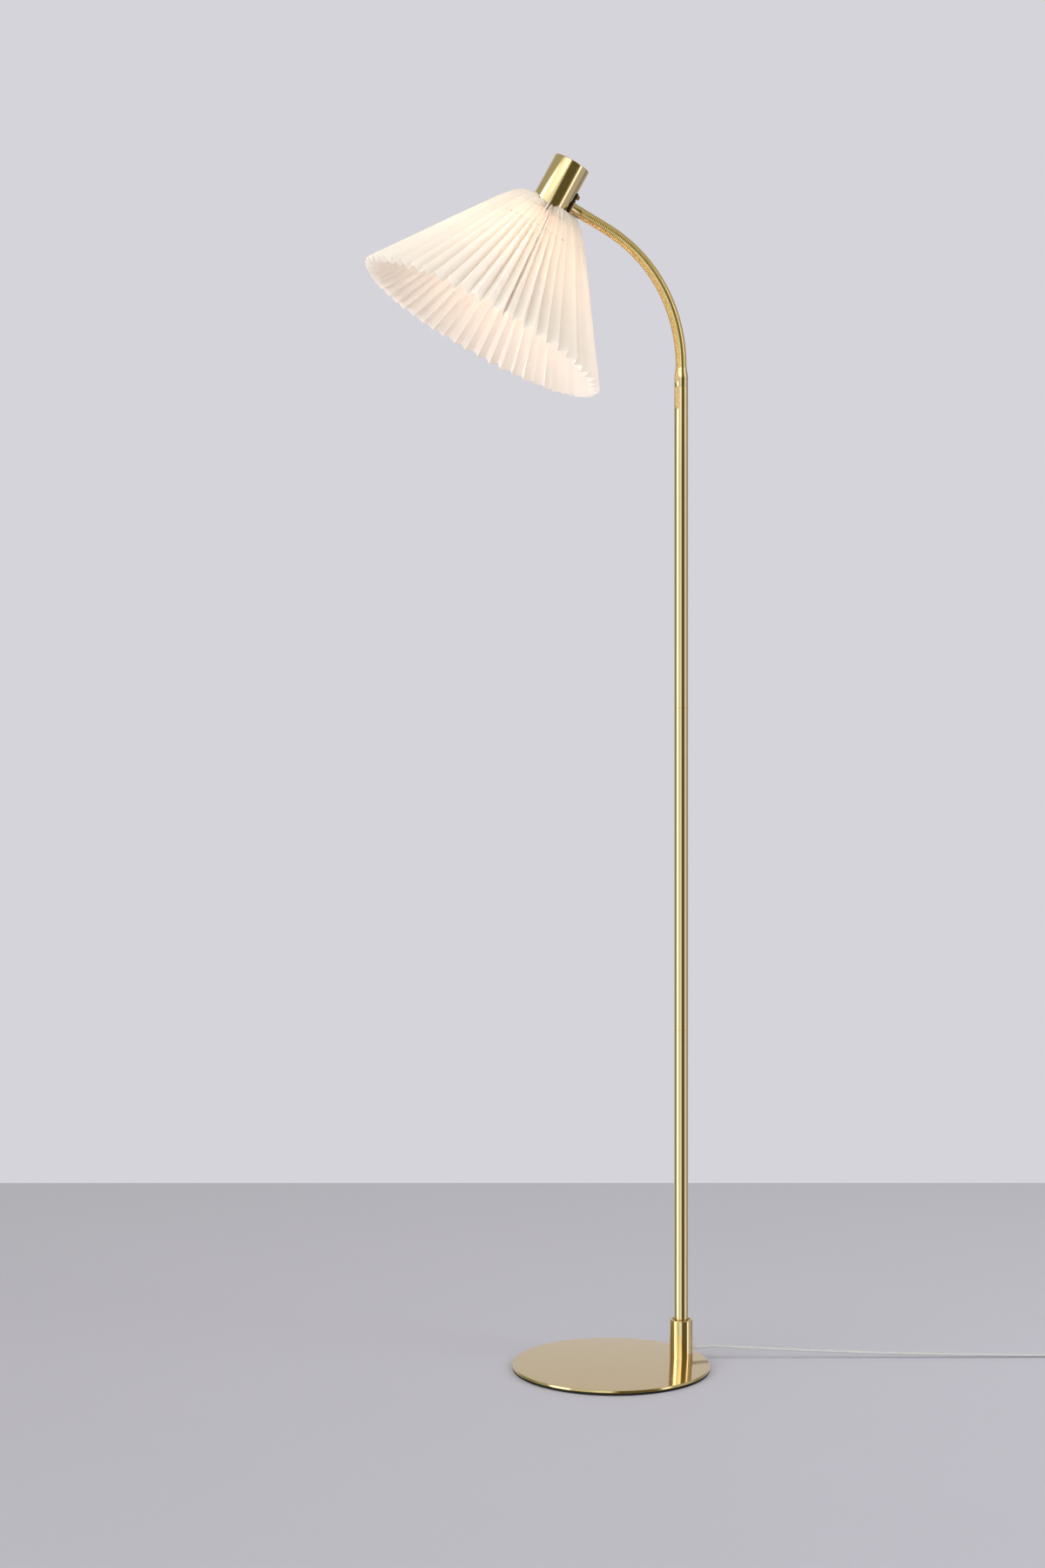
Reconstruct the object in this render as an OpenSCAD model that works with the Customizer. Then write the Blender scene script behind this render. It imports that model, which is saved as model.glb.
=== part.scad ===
// Floor reading lamp: round brass base, slim offset pole, short bendable arm
// and a tilted brass lamp head with a pleated cone shade.
// Origin: centre of the base on the floor. +Z is up, the pole stands towards +X
// and the head hangs back over the base towards -X.

/* [Base] */
// Diameter of the round base
base_d = 236.6; // [210:0.2:260]
// Thickness of the brass-plated steel plate
plate_t = 4; // [3.6:0.2:8]
// Thickness of the soft pad under the plate
pad_t = 2; // [2:0.1:3]
// Distance of the pole axis from the base centre
pole_offset = 91.5; // [60:0.5:96]

/* [Sleeve and pole] */
// Outer diameter of the sleeve that holds the pole
sleeve_d = 28; // [26:0.5:32]
// Height of the sleeve above the plate
sleeve_h = 45.7; // [38:0.1:60]
// Wall of the sleeve
sleeve_wall = 3; // [2.5:0.1:3]
// Outer diameter of the pole
pole_d = 17; // [16:0.1:17]
// Wall of the pole tube
pole_wall = 1.2; // [1:0.1:1.5]
// Length of each of the two upper pole sections
section_l = 390; // [300:5:450]
// Height of the lower pole joint above the floor
first_joint_z = 402.6; // [300:0.1:450]

/* [Arm] */
// Outer diameter of the bendable arm
hose_d = 13.3; // [12:0.1:14]
// Length of the straight arm stub above the pole cap
arm_first = 12; // [10:0.5:20]
// Distance from one arm bend to the next
arm_step = 23.2; // [21:0.1:26]
// Length of the arm after the last bend
arm_last = 36; // [30:0.5:45]
// Turn of the arm about the pole, away from the line to the base centre
arm_turn = 11.1; // [0:0.1:20]

/* [Lamp head] */
// Outer diameter of the brass housing
housing_d = 46; // [45:0.1:48]
// Length of the brass housing
housing_l = 62; // [60:0.5:62]
// Distance of the arm below the top of the housing
arm_drop = 46; // [45:0.5:47]
// Turn of the lamp head about the end of the arm
head_twist = -8.6; // [-10:0.1:10]
// Largest diameter of the bulb
bulb_d = 60; // [55:1:64]

/* [Shade] */
// Number of pleats round the shade
pleats = 56; // [40:1:64]
// Radius of the outer folds at the rim
rim_r = 160.4; // [150:0.2:165]
// Distance of the rim's outer folds below the housing top
rim_u = 225; // [215:0.5:235]
// Lean of the rim against the neck of the shade
shade_lean = 6; // [0:0.5:7]

/* [Cord] */
// Width of the flat two-core cord
cord_w = 5.6; // [5:0.1:6]
// Thickness of the flat two-core cord
cord_t = 3; // [2.6:0.1:3.2]

/* [Hidden] */
$fn = 64;

// Heights of the base and the sleeve
plate_top = pad_t + plate_t;
sleeve_top = plate_top + sleeve_h;
sleeve_r = sleeve_d / 2;
sleeve_bore_r = sleeve_r - sleeve_wall;
plug_top = plate_top + 5;
bush_low = 19.8;
pole_low = bush_low + 2.2;
bush_top = sleeve_top - 1;
screw_z = (bush_low + sleeve_top) / 2;
screw_r = 2;
cord_z = 15.5;
nipple_r = 5;
nipple_bore_r = 3.5;

// Fixings under the plate: the nut sits in the pad's hole, the washer in the plate's recess
recess_r = 9;
recess_h = 2;
pad_hole_r = 10;
foot_washer_r = 8;
foot_washer_t = 0.8;
nut_across = 15;
foot_nut_t = 2.5;

// Slot in the sleeve and the gland's collar that fills it
gland_w = 7.2;
gland_h = 4;
gland_lip = 1.2;
relief_w = 7;
relief_tip_h = 3.4;

// Pole
pole_r = pole_d / 2;
pole_bore_r = pole_r - pole_wall;
second_joint_z = first_joint_z + section_l;
pole_top = second_joint_z + section_l;
cap_h = 23.4;
lead_r = 1.9;
joiner_half = 14;
joiner_bore_r = 4.5;

// Arm: rest angle of each of the nine bends, from the pole outwards
arm_bends = [6, 6.5, 7, 7, 7.5, 7.5, 7.5, 7, 5.5];
hose_r = hose_d / 2;
socket_gap = 0.3;
arm_bore_r = 3.2;
last_link = len(arm_bends);
ferrule_l = 13.5;
ferrule_d = 14;
washer_t = 1.1;
washer_d = 19;
saddle_t = 1.7;

// Head, measured down from the top of the housing (u)
housing_r = housing_d / 2;
housing_wall = 1.2;
switch_u = 32;
saddle_from_u = 28;
saddle_to_u = 53.5;
saddle_w = 12;
saddle_out = housing_r + saddle_t;
through_l = 40;
button_r = 2.8;
neck_r = 3.5;
holder_r = 16.8;
skirt_r = 19.8;
skirt_top_u = 58;
skirt_end_u = 74;
collar_t = 1.2;
collar_u = housing_l + 0.2;
ring_u = collar_u + collar_t;
ring_end_u = ring_u + 6.6;
ring_r = 22.4;
collar_r = 24.6;
holder_inner_r = 14.6;
holder_seam_u = 34;
thread_r = 13.8;
thread_wall = 0.5;
thread_top_u = 46;
thread_end_u = 70;
holder_well_u = 42;
contact_t = 1;
cap_end_u = 71;
carrier_ring_u = 73;
carrier_ring_r = 31;
globe_u = 112;
bulb_wall = 1.2;
bulb_cap_r = 13.1;

// Shade folds: radius and depth u of the outer and the inner fold at each level, from the
// neck to the rim, and the step from the outer face to the inner one there
outer_fold = [[26.2, 53.7], [36, 56.4], [45, 60.3], [50.3, 66.1], [rim_r, rim_u]];
inner_fold = [[25.5, 66.8], [32, 68.9], [37, 72], [41.2, 76], [rim_r - 8.9, rim_u + 6]];
wall_step = [[0, 2.5], [-0.7, 2.3], [-1.5, 1.5], [-1.2, 0.7], [-0.9, 0]];
shoulder_r = outer_fold[3][0];

// Two threads sewn through the pleats: radius of the ring and its depth u
upper_stitch = [48.5, 69.5];
lower_stitch = [67.5, 95.5];
stitch_r = 0.6;

// Cord: route of the flat cord from the relief to the coil, centre line, by hand
relief_end = 36;
cord_route = [
    [pole_offset + relief_end, 0, cord_z], [135, -0.8, 15.3], [146, -4, 14.7],
    [160, -9, 13.8], [180, -15.5, 12.6], [200, -22, 11.6], [220, -28.5, 10.6], [240, -35.5, 9.6],
    [260, -42, 8.8], [280, -49, 8], [300, -55.5, 7.2], [320, -62.5, 6.5],
    [340, -69, 5.9], [360, -76, 5.4], [380, -82.5, 4.9], [400, -89, 4.4],
    [420, -95.5, 4], [440, -102, 3.6], [460, -108.5, 3.3], [480, -115, 3],
    [500, -121.5, 2.7], [520, -128, 2.5], [540, -133.5, 2.3], [560, -138.5, 2.2],
    [582, -143.5, 2.1], [604.4, -148, 2.1]
];
tail_route = [
    [657.6, -108, 5.3], [657.6, -98, 4.6], [657, -88, 3.6], [656, -78, 2.6],
    [654.5, -68, 1.9], [653, -58, 1.9], [651.5, -48, 3.2], [650.5, -39, 5.2],
    [650, -30, 6.85]
];
coil_centre = [616, -108];
coil_r = 41.6;
coil_bottom = 0.6;
coil_h = 6.6;
coil_out = coil_r + 3;
coil_in = 21;
tie_t = 0.6;
tie_at = 130;
tie_span = 14;
plug_x = 650;
plug_face_y = 22;
plug_l = 36;
plug_neck_r = 4.6;
plug_tip_r = 3.2;
plug_relief_l = 16;
plug_h = 13.7;
plug_z = plug_h / 2;
pin_r = 2;
pin_l = 19;
pin_gap = 18.6;

// ---------------------------------------------------------------- placing

// Sum of the rest angles of the first n bends
function heading(n) = n == 0 ? 0 : arm_bends[n - 1] + heading(n - 1);

function link_length(i) = i == 0 ? arm_first : i == last_link ? arm_last : arm_step;

// Start of link i in the arm's own plane: distance from the pole axis, and height
function link_start(i) =
    i == 0
        ? [0, pole_top + cap_h]
        : link_start(i - 1)
            + link_length(i - 1) * [sin(heading(i - 1)), cos(heading(i - 1))];

module at_pole() {
    translate([pole_offset, 0, 0])
        children();
}

module at_link(i) {
    start = link_start(i);
    at_pole()
        rotate([0, 0, 180 - arm_turn])
            translate([start[0], 0, start[1]])
                rotate([0, heading(i), 0])
                    children();
}

// Top centre of the housing; +Z up along the head, -X towards the arm
module at_head() {
    reach = arm_last + ferrule_l + washer_t + saddle_out;
    at_link(last_link)
        rotate([0, 0, head_twist])
            translate([0, 0, reach])
                rotate([0, -90, 0])
                    translate([0, 0, arm_drop])
                        children();
}

// A part that points from the housing towards the arm, drawn along +Z from the head's axis
module towards_arm(u) {
    translate([0, 0, -u])
        rotate([0, -90, 0])
            children();
}

module hex_nut(h) {
    difference() {
        cylinder(d = nut_across, h = h, $fn = 6);
        translate([0, 0, -1])
            cylinder(r = nipple_r, h = h + 2);
    }
}

module cylinder_between(r, low, high) {
    translate([0, 0, low])
        cylinder(r = r, h = high - low);
}

module tube(r, bore_r, h) {
    difference() {
        cylinder(r = r, h = h);
        translate([0, 0, -1])
            cylinder(r = bore_r, h = h + 2);
    }
}

// ---------------------------------------------------------------- swept tube

// Catmull-Rom point between p1 and p2
function curve_point(p0, p1, p2, p3, t) =
    0.5 * (2 * p1 + (p2 - p0) * t + (2 * p0 - 5 * p1 + 4 * p2 - p3) * t * t
        + (3 * p1 - p0 - 3 * p2 + p3) * t * t * t);

function route_point(route, i) = route[max(0, min(len(route) - 1, i))];

function smooth_route(route, steps) = [
    for (i = [0 : len(route) - 2], s = [0 : steps - 1])
        curve_point(
            route_point(route, i - 1), route[i], route[i + 1],
            route_point(route, i + 2), s / steps),
    route[len(route) - 1]
];

function unit(v) = v / norm(v);

function direction(line, i) =
    unit(line[min(len(line) - 1, i + 1)] - line[max(0, i - 1)]);

// Ring of the flat cord's outline round point i of the line
function cord_ring(line, i, sides) =
    let (ahead = direction(line, i), side = unit(cross([0, 0, 1], ahead)))
    let (above = cross(ahead, side))
    [for (k = [0 : sides - 1])
        line[i] + side * (cord_w / 2) * cos(360 * (k + 0.5) / sides)
            + above * (cord_t / 2) * sin(360 * (k + 0.5) / sides)];

module flat_cord(line, sides = 8) {
    rings = len(line);
    points = [for (i = [0 : rings - 1]) each cord_ring(line, i, sides)];
    walls = [
        for (i = [0 : rings - 2], k = [0 : sides - 1])
            let (a = i * sides + k, b = i * sides + (k + 1) % sides)
            each [[a, b + sides, b], [a, a + sides, b + sides]]
    ];
    first_end = [for (k = [0 : sides - 1]) k];
    last_end = [for (k = [sides - 1 : -1 : 0]) (rings - 1) * sides + k];
    polyhedron(points = points, faces = concat(walls, [first_end, last_end]), convexity = 6);
}

// ---------------------------------------------------------------- base

module base_plate() {
    edge = 0.6;
    color("#c8a95a")
        difference() {
            translate([0, 0, pad_t])
                rotate_extrude()
                    polygon([
                        [0, 0], [base_d / 2 - 0.4, 0], [base_d / 2, 0.4],
                        [base_d / 2, plate_t - edge], [base_d / 2 - edge, plate_t], [0, plate_t]
                    ]);
            at_pole() {
                cylinder(r = nipple_r, h = plate_top + 1);
                cylinder(r = recess_r, h = pad_t + recess_h);
            }
        }
}

module base_pad() {
    color("#161616")
        difference() {
            cylinder(d = base_d - 1.2, h = pad_t);
            at_pole()
                translate([0, 0, -1])
                    cylinder(r = pad_hole_r, h = pad_t + 2);
        }
}

module base_sleeve() {
    rim = 0.5;
    color("#c8a95a")
        at_pole()
            difference() {
                translate([0, 0, plate_top])
                    rotate_extrude()
                        polygon([
                            [sleeve_bore_r, 0], [sleeve_r, 0], [sleeve_r, sleeve_h - rim],
                            [sleeve_r - rim, sleeve_h], [sleeve_bore_r + rim, sleeve_h],
                            [sleeve_bore_r, sleeve_h - rim]
                        ]);
                translate([sleeve_bore_r - 1, -gland_w / 2, cord_z - gland_h / 2])
                    cube([sleeve_wall + 2, gland_w, gland_h]);
                translate([0, 0, screw_z])
                    rotate([-90, 0, 0])
                        cylinder(r = screw_r, h = sleeve_r + 1);
            }
}

module sleeve_plug() {
    color("#b8963f")
        at_pole()
            translate([0, 0, plate_top])
                tube(sleeve_bore_r, nipple_r, plug_top - plate_top);
}

module foot_nipple() {
    low = 0.5;
    color("#c9c4b4")
        at_pole()
            translate([0, 0, low])
                tube(nipple_r, nipple_bore_r, plug_top - low);
}

module foot_washer() {
    color("#c9c9c9")
        at_pole()
            translate([0, 0, pad_t + recess_h - foot_washer_t])
                tube(foot_washer_r, nipple_r, foot_washer_t);
}

module foot_nut() {
    color("#bdbdbd")
        at_pole()
            translate([0, 0, pad_t + recess_h - foot_washer_t - foot_nut_t])
                hex_nut(foot_nut_t);
}

module sleeve_bush() {
    lead_hole_r = 5.5;
    slack = 0.1;
    color("#a98a4a")
        at_pole()
            difference() {
                translate([0, 0, bush_low])
                    cylinder(r = sleeve_bore_r, h = bush_top - bush_low);
                translate([0, 0, bush_low - 1])
                    cylinder(r = lead_hole_r, h = 4);
                translate([0, 0, pole_low - 2 * slack])
                    cylinder(r = pole_r + slack, h = bush_top);
                translate([0, 0, screw_z])
                    rotate([-90, 0, 0])
                        cylinder(r = screw_r, h = sleeve_r);
            }
}

module sleeve_screw() {
    key_r = 1.15;
    key_from = 2.4;
    color("#4a4a4a")
        at_pole()
            translate([0, pole_r + 0.1, screw_z])
                rotate([-90, 0, 0])
                    difference() {
                        cylinder(r = screw_r, h = sleeve_r - pole_r - 0.6);
                        translate([0, 0, key_from])
                            cylinder(r = key_r, h = 5, $fn = 6);
                    }
}

// ---------------------------------------------------------------- cord

// Collar in the sleeve's slot, and the flat taper that protects the cord
module cord_gland() {
    behind = 0.4;
    taper_l = relief_end - sleeve_r - gland_lip;
    color("#e6e2da")
        at_pole()
            translate([0, 0, cord_z]) {
                translate([sleeve_bore_r - behind, -gland_w / 2, -gland_h / 2])
                    cube([sleeve_wall + behind + gland_lip, gland_w, gland_h]);
                translate([sleeve_r + gland_lip, relief_w / 2, 0])
                    rotate([90, 0, 0])
                        linear_extrude(relief_w)
                            polygon([
                                [-0.1, -gland_h / 2], [taper_l, -relief_tip_h / 2],
                                [taper_l, relief_tip_h / 2], [-0.1, gland_h / 2]
                            ]);
            }
}

module inlet_lead() {
    color("#d8d4ca")
        at_pole()
            translate([0, 0, cord_z]) {
                rotate([0, 90, 0])
                    cylinder(r = lead_r, h = sleeve_bore_r - 0.4);
                sphere(r = lead_r);
                cylinder(r = lead_r, h = pole_low - cord_z);
            }
}

module supply_cord() {
    color("#dcdcdc")
        flat_cord(smooth_route(cord_route, 2));
}

module cord_tail() {
    color("#dcdcdc")
        flat_cord(tail_route);
}

module at_coil() {
    translate([coil_centre[0], coil_centre[1], 0])
        children();
}

module cord_coil() {
    color("#d2d2d2")
        at_coil()
            rotate_extrude()
                translate([coil_in, coil_bottom])
                    square([coil_out - coil_in, coil_h]);
}

module coil_tie() {
    color("#202020")
        at_coil()
            rotate([0, 0, tie_at])
                rotate_extrude(angle = tie_span)
                    difference() {
                        translate([coil_in - tie_t, coil_bottom - tie_t])
                            square([coil_out - coil_in + 2 * tie_t, coil_h + 2 * tie_t]);
                        translate([coil_in, coil_bottom])
                            square([coil_out - coil_in, coil_h]);
                    }
}

module plug_relief() {
    color("#d8d8d8")
        translate([plug_x, plug_face_y - plug_l, plug_z])
            rotate([90, 0, 0])
                cylinder(r1 = plug_neck_r, r2 = plug_tip_r, h = plug_relief_l);
}

module plug_body() {
    color("#e8e6e0")
        translate([plug_x, plug_face_y, 0])
            linear_extrude(plug_h)
                polygon([
                    [-17.6, 0], [-17.6, -9], [-9, -30], [-6, -plug_l],
                    [6, -plug_l], [9, -30], [17.6, -9], [17.6, 0]
                ]);
}

module plug_pin(side) {
    color("#d8c890")
        translate([plug_x + side * pin_gap / 2, plug_face_y, plug_z])
            rotate([-90, 0, 0]) {
                cylinder(r = pin_r, h = pin_l - pin_r);
                translate([0, 0, pin_l - pin_r])
                    sphere(r = pin_r);
            }
}

// ---------------------------------------------------------------- pole

module pole_section(low, high) {
    edge = 0.25;
    color("#c8a95a")
        at_pole()
            translate([0, 0, low])
                rotate_extrude()
                    polygon([
                        [pole_bore_r, 0], [pole_r - edge, 0], [pole_r, edge],
                        [pole_r, high - low - edge], [pole_r - edge, high - low],
                        [pole_bore_r, high - low]
                    ]);
}

module joiner(z) {
    color("#b0b0b0")
        at_pole()
            translate([0, 0, z - joiner_half])
                tube(pole_bore_r, joiner_bore_r, 2 * joiner_half);
}

module pole_cap() {
    spigot = 12;
    color("#c8a95a")
        at_pole()
            translate([0, 0, pole_top])
                rotate_extrude()
                    polygon([
                        [arm_bore_r, -spigot], [pole_bore_r, -spigot], [pole_bore_r, 0],
                        [8.1, 0], [8.4, 0.4], [8.4, 12], [8.3, 13.6], [8.1, 15.3],
                        [7.8, 17], [7.45, 18.7], [7.15, 20.3], [6.95, 21.8], [6.9, cap_h],
                        [arm_bore_r, cap_h]
                    ]);
}

module pole_lead() {
    low = pole_low + 0.4;
    color("#d8d4ca")
        at_pole()
            translate([0, 0, low])
                cylinder(r = lead_r, h = pole_top + cap_h - low);
}

// ---------------------------------------------------------------- arm

// One straight link between two bends: a ball at the far end and a socket at the near one
module hose_link(i) {
    length = link_length(i);
    color("#c4a353")
        at_link(i)
            difference() {
                union() {
                    cylinder(r = hose_r, h = length);
                    if (i < last_link)
                        translate([0, 0, length])
                            sphere(r = hose_r);
                }
                if (i > 0)
                    sphere(r = hose_r + socket_gap);
                translate([0, 0, -1])
                    cylinder(r = arm_bore_r, h = length + hose_r + 2);
            }
}

module arm_ferrule() {
    color("#c8a95a")
        at_link(last_link)
            translate([0, 0, arm_last])
                rotate_extrude()
                    polygon([
                        [nipple_r, 0], [ferrule_d / 2 - 0.5, 0], [ferrule_d / 2, 0.5],
                        [ferrule_d / 2, ferrule_l], [nipple_r, ferrule_l]
                    ]);
}

module arm_washer() {
    color("#e0d2a4")
        at_link(last_link)
            translate([0, 0, arm_last + ferrule_l])
                tube(washer_d / 2, nipple_r, washer_t);
}

// ---------------------------------------------------------------- head

module rounded_bar(length, width, corner) {
    square([length - 2 * corner, width], center = true);
    square([length, width - 2 * corner], center = true);
    for (x = [-1, 1], y = [-1, 1])
        translate([x * (length / 2 - corner), y * (width / 2 - corner)])
            circle(r = corner);
}

module saddle_pad() {
    middle_u = (saddle_from_u + saddle_to_u) / 2;
    color("#101010")
        at_head()
            difference() {
                towards_arm(middle_u)
                    translate([0, 0, housing_r - 3])
                        linear_extrude(saddle_t + 3)
                            rounded_bar(saddle_to_u - saddle_from_u, saddle_w, 3);
                translate([0, 0, -housing_l])
                    cylinder(r = housing_r, h = housing_l);
                towards_arm(arm_drop)
                    cylinder(r = nipple_r, h = through_l);
                towards_arm(switch_u)
                    cylinder(r = neck_r, h = through_l);
            }
}

module arm_nipple() {
    inside = 17.4;
    color("#c9c4b4")
        at_head()
            towards_arm(arm_drop)
                translate([0, 0, inside])
                    tube(nipple_r, nipple_bore_r, saddle_out + washer_t + ferrule_l - 2 - inside);
}

module arm_nut() {
    seat = 20.4;
    thick = 2.6;
    color("#bdbdbd")
        at_head()
            towards_arm(arm_drop)
                translate([0, 0, seat - thick])
                    hex_nut(thick);
}

module switch_body() {
    face = 20.6;
    back = 17.4;
    color("#1c1c1c")
        at_head()
            towards_arm(switch_u) {
                difference() {
                    union() {
                        translate([-5, -5, back])
                            cube([10, 10, face - back]);
                        cylinder_between(neck_r, back, saddle_out);
                    }
                    cylinder_between(button_r + 0.1, face - 1.6, saddle_out + 1);
                }
            }
}

module switch_button() {
    proud = 3.2;
    stem = 20.8;
    dome = 1.1;
    color("#b08d4a")
        at_head()
            towards_arm(switch_u)
                rotate_extrude()
                    polygon([
                        [0, stem], [button_r, stem], [button_r, saddle_out + proud - dome],
                        [button_r * 0.87, saddle_out + proud - dome * 0.5],
                        [button_r * 0.5, saddle_out + proud - dome * 0.14],
                        [0, saddle_out + proud]
                    ]);
}

module housing_shell() {
    edge = 0.8;
    inner_r = housing_r - housing_wall;
    color("#c8a95a")
        at_head()
            difference() {
                rotate_extrude()
                    polygon([
                        [0, 0], [housing_r - edge, 0], [housing_r - 0.24, -0.24],
                        [housing_r, -edge], [housing_r, -housing_l], [inner_r, -housing_l],
                        [inner_r, -housing_wall], [0, -housing_wall]
                    ]);
                towards_arm(arm_drop)
                    cylinder(r = nipple_r, h = through_l);
                towards_arm(switch_u)
                    cylinder(r = neck_r, h = through_l);
            }
}

module holder_stud() {
    color("#c9c4b4")
        at_head()
            translate([0, 0, -18])
                tube(nipple_r, nipple_bore_r, 18 - housing_wall);
}

module holder_cap() {
    top_u = 14;
    stud_end_u = 18;
    color("#202020")
        at_head()
            rotate_extrude()
                polygon([
                    [nipple_r, -top_u], [12, -top_u], [15.2, -top_u - 2.4],
                    [holder_r - 1.1, -top_u - 6], [holder_r, -top_u - 11],
                    [holder_r, -holder_seam_u], [holder_inner_r, -holder_seam_u],
                    [holder_inner_r, -stud_end_u], [nipple_r, -stud_end_u]
                ]);
}

module holder_body() {
    floor_u = holder_seam_u + 4;
    color("#202020")
        at_head()
            rotate_extrude()
                polygon([
                    [0, -floor_u], [holder_inner_r, -floor_u], [holder_inner_r, -holder_seam_u],
                    [holder_r, -holder_seam_u], [holder_r, -skirt_top_u],
                    [skirt_r, -skirt_top_u], [skirt_r, -skirt_end_u], [thread_r, -skirt_end_u],
                    [thread_r, -holder_well_u], [0, -holder_well_u]
                ]);
}

module holder_thread() {
    color("#c0a050")
        at_head()
            translate([0, 0, -thread_end_u])
                tube(thread_r, thread_r - thread_wall, thread_end_u - thread_top_u);
}

module holder_contact() {
    color("#c0a050")
        at_head()
            translate([0, 0, -holder_well_u - contact_t])
                cylinder(r = 4, h = contact_t);
}

module holder_ring() {
    color("#202020")
        at_head()
            translate([0, 0, -ring_end_u])
                tube(ring_r, skirt_r, ring_end_u - ring_u);
}

// Clamped collar with three bent straps and the wire ring that holds the shade
module shade_carrier() {
    strap_w = 2.4;
    strap_t = 1.4;
    wire_r = 1.2;
    leg_r = ring_r + 0.4;
    low = collar_u - carrier_ring_u;
    color("#d6d2c6")
        at_head()
            translate([0, 0, -collar_u]) {
                translate([0, 0, -collar_t])
                    tube(collar_r, skirt_r, collar_t);
                for (a = [30, 150, 270])
                    rotate([90, 0, a])
                        linear_extrude(strap_w, center = true)
                            polygon([
                                [leg_r, -collar_t / 2], [leg_r + strap_t, -collar_t / 2],
                                [leg_r + strap_t, low + 1.4], [carrier_ring_r, low + 0.7],
                                [carrier_ring_r, low - 0.7], [leg_r, low]
                            ]);
                translate([0, 0, low])
                    rotate_extrude()
                        translate([carrier_ring_r, 0])
                            circle(r = wire_r);
            }
}

// A point of the rim, turned by the lean about a line across the head at the arm's depth
function leaned(p) =
    let (y = p[1], z = p[2] + arm_drop)
    [
        p[0],
        y * cos(shade_lean) - z * sin(shade_lean),
        y * sin(shade_lean) + z * cos(shade_lean) - arm_drop
    ];

// Points of one face of the pleated wall (0 outer, 1 inner): at each level, outer and inner
// folds by turns. Only the rim leans.
function fold_points(face) = [
    for (level = [0 : len(outer_fold) - 1], k = [0 : 2 * pleats - 1])
        let (fold = (k % 2 == 0 ? outer_fold[level] : inner_fold[level]))
        let (at = fold + face * wall_step[level], a = 180 * k / pleats)
        let (p = [at[0] * cos(a), at[0] * sin(a), -at[1]])
        level == len(outer_fold) - 1 ? leaned(p) : p
];

module pleated_shade() {
    folds = 2 * pleats;
    levels = len(outer_fold);
    side = folds * levels;
    outer_wall = [
        for (j = [0 : levels - 2], k = [0 : folds - 1])
            let (a = j * folds + k, b = j * folds + (k + 1) % folds)
            each [[a, b, b + folds], [a, b + folds, a + folds]]
    ];
    inner_wall = [for (f = outer_wall) [f[2] + side, f[1] + side, f[0] + side]];
    low = (levels - 1) * folds;
    top_edge = [
        for (k = [0 : folds - 1])
            let (n = (k + 1) % folds)
            each [[n, k, k + side], [n, k + side, n + side]]
    ];
    rim_edge = [
        for (k = [0 : folds - 1])
            let (a = low + k, n = low + (k + 1) % folds)
            each [[a, n, n + side], [a, n + side, a + side]]
    ];
    color("#f4ece0")
        at_head()
            polyhedron(
                points = concat(fold_points(0), fold_points(1)),
                faces = concat(outer_wall, inner_wall, top_edge, rim_edge),
                convexity = 12);
}

// A thread follows the pleats, so it takes its share of the rim's lean
module stitch_cord(ring) {
    share = max(0, (ring[0] - shoulder_r) / (rim_r - shoulder_r));
    carried = share * (leaned([0, 0, -rim_u]) + [0, 0, rim_u]);
    color("#f0e8dc")
        at_head()
            translate(carried - [0, 0, ring[1]])
                rotate([atan2(share * rim_r * sin(shade_lean), ring[0]), 0, 0])
                    rotate_extrude()
                        translate([ring[0], 0])
                            circle(r = stitch_r);
}

module bulb_cap() {
    color("#c4c4c4")
        at_head()
            rotate_extrude()
                polygon([
                    [0, -43.2], [4.6, -43.4], [5, -44.6], [9.5, -47], [bulb_cap_r, -48.5],
                    [bulb_cap_r, -cap_end_u], [0, -cap_end_u]
                ]);
}

module bulb_collar() {
    wide_r = bulb_d / 2 - 1.5;
    color("#f2f0ec")
        at_head()
            rotate_extrude()
                polygon([
                    [0, -cap_end_u], [bulb_cap_r, -cap_end_u], [13.3, -77], [15, -84], [20, -96],
                    [wide_r, -globe_u + 2], [wide_r, -globe_u], [wide_r - 2, -globe_u],
                    [18, -96], [13, -84], [11, -74], [0, -74]
                ]);
}

// Opal dome: a hollow ball cut off where it meets the collar
module bulb_globe() {
    r = bulb_d / 2;
    centre_u = globe_u + 6;
    color("#fff6dc")
        at_head()
            difference() {
                translate([0, 0, -centre_u])
                    sphere(r = r);
                translate([0, 0, -centre_u])
                    sphere(r = r - bulb_wall);
                translate([0, 0, -globe_u])
                    cylinder(r = r + 5, h = 2 * r);
            }
}

// ---------------------------------------------------------------- nodes

base_plate();
base_pad();
base_sleeve();
sleeve_plug();
foot_nipple();
foot_washer();
foot_nut();
sleeve_bush();
sleeve_screw();
cord_gland();
inlet_lead();
supply_cord();
cord_coil();
coil_tie();
cord_tail();
plug_relief();
plug_body();
plug_pin(-1);  // plug_pin_left
plug_pin(1);  // plug_pin_right
pole_section(pole_low, first_joint_z);  // pole_lower
pole_section(first_joint_z, second_joint_z);  // pole_middle
pole_section(second_joint_z, pole_top);  // pole_upper
joiner(first_joint_z);  // joiner_lower
joiner(second_joint_z);  // joiner_upper
pole_cap();
pole_lead();
hose_link(0);  // hose_1
hose_link(1);  // hose_2
hose_link(2);  // hose_3
hose_link(3);  // hose_4
hose_link(4);  // hose_5
hose_link(5);  // hose_6
hose_link(6);  // hose_7
hose_link(7);  // hose_8
hose_link(8);  // hose_9
hose_link(9);  // hose_10
arm_ferrule();
arm_washer();
saddle_pad();
arm_nipple();
arm_nut();
switch_body();
switch_button();
housing_shell();
holder_stud();
holder_cap();
holder_body();
holder_thread();
holder_contact();
holder_ring();
shade_carrier();
pleated_shade();
stitch_cord(upper_stitch);  // stitch_cord_upper
stitch_cord(lower_stitch);  // stitch_cord_lower
bulb_cap();
bulb_collar();
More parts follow.
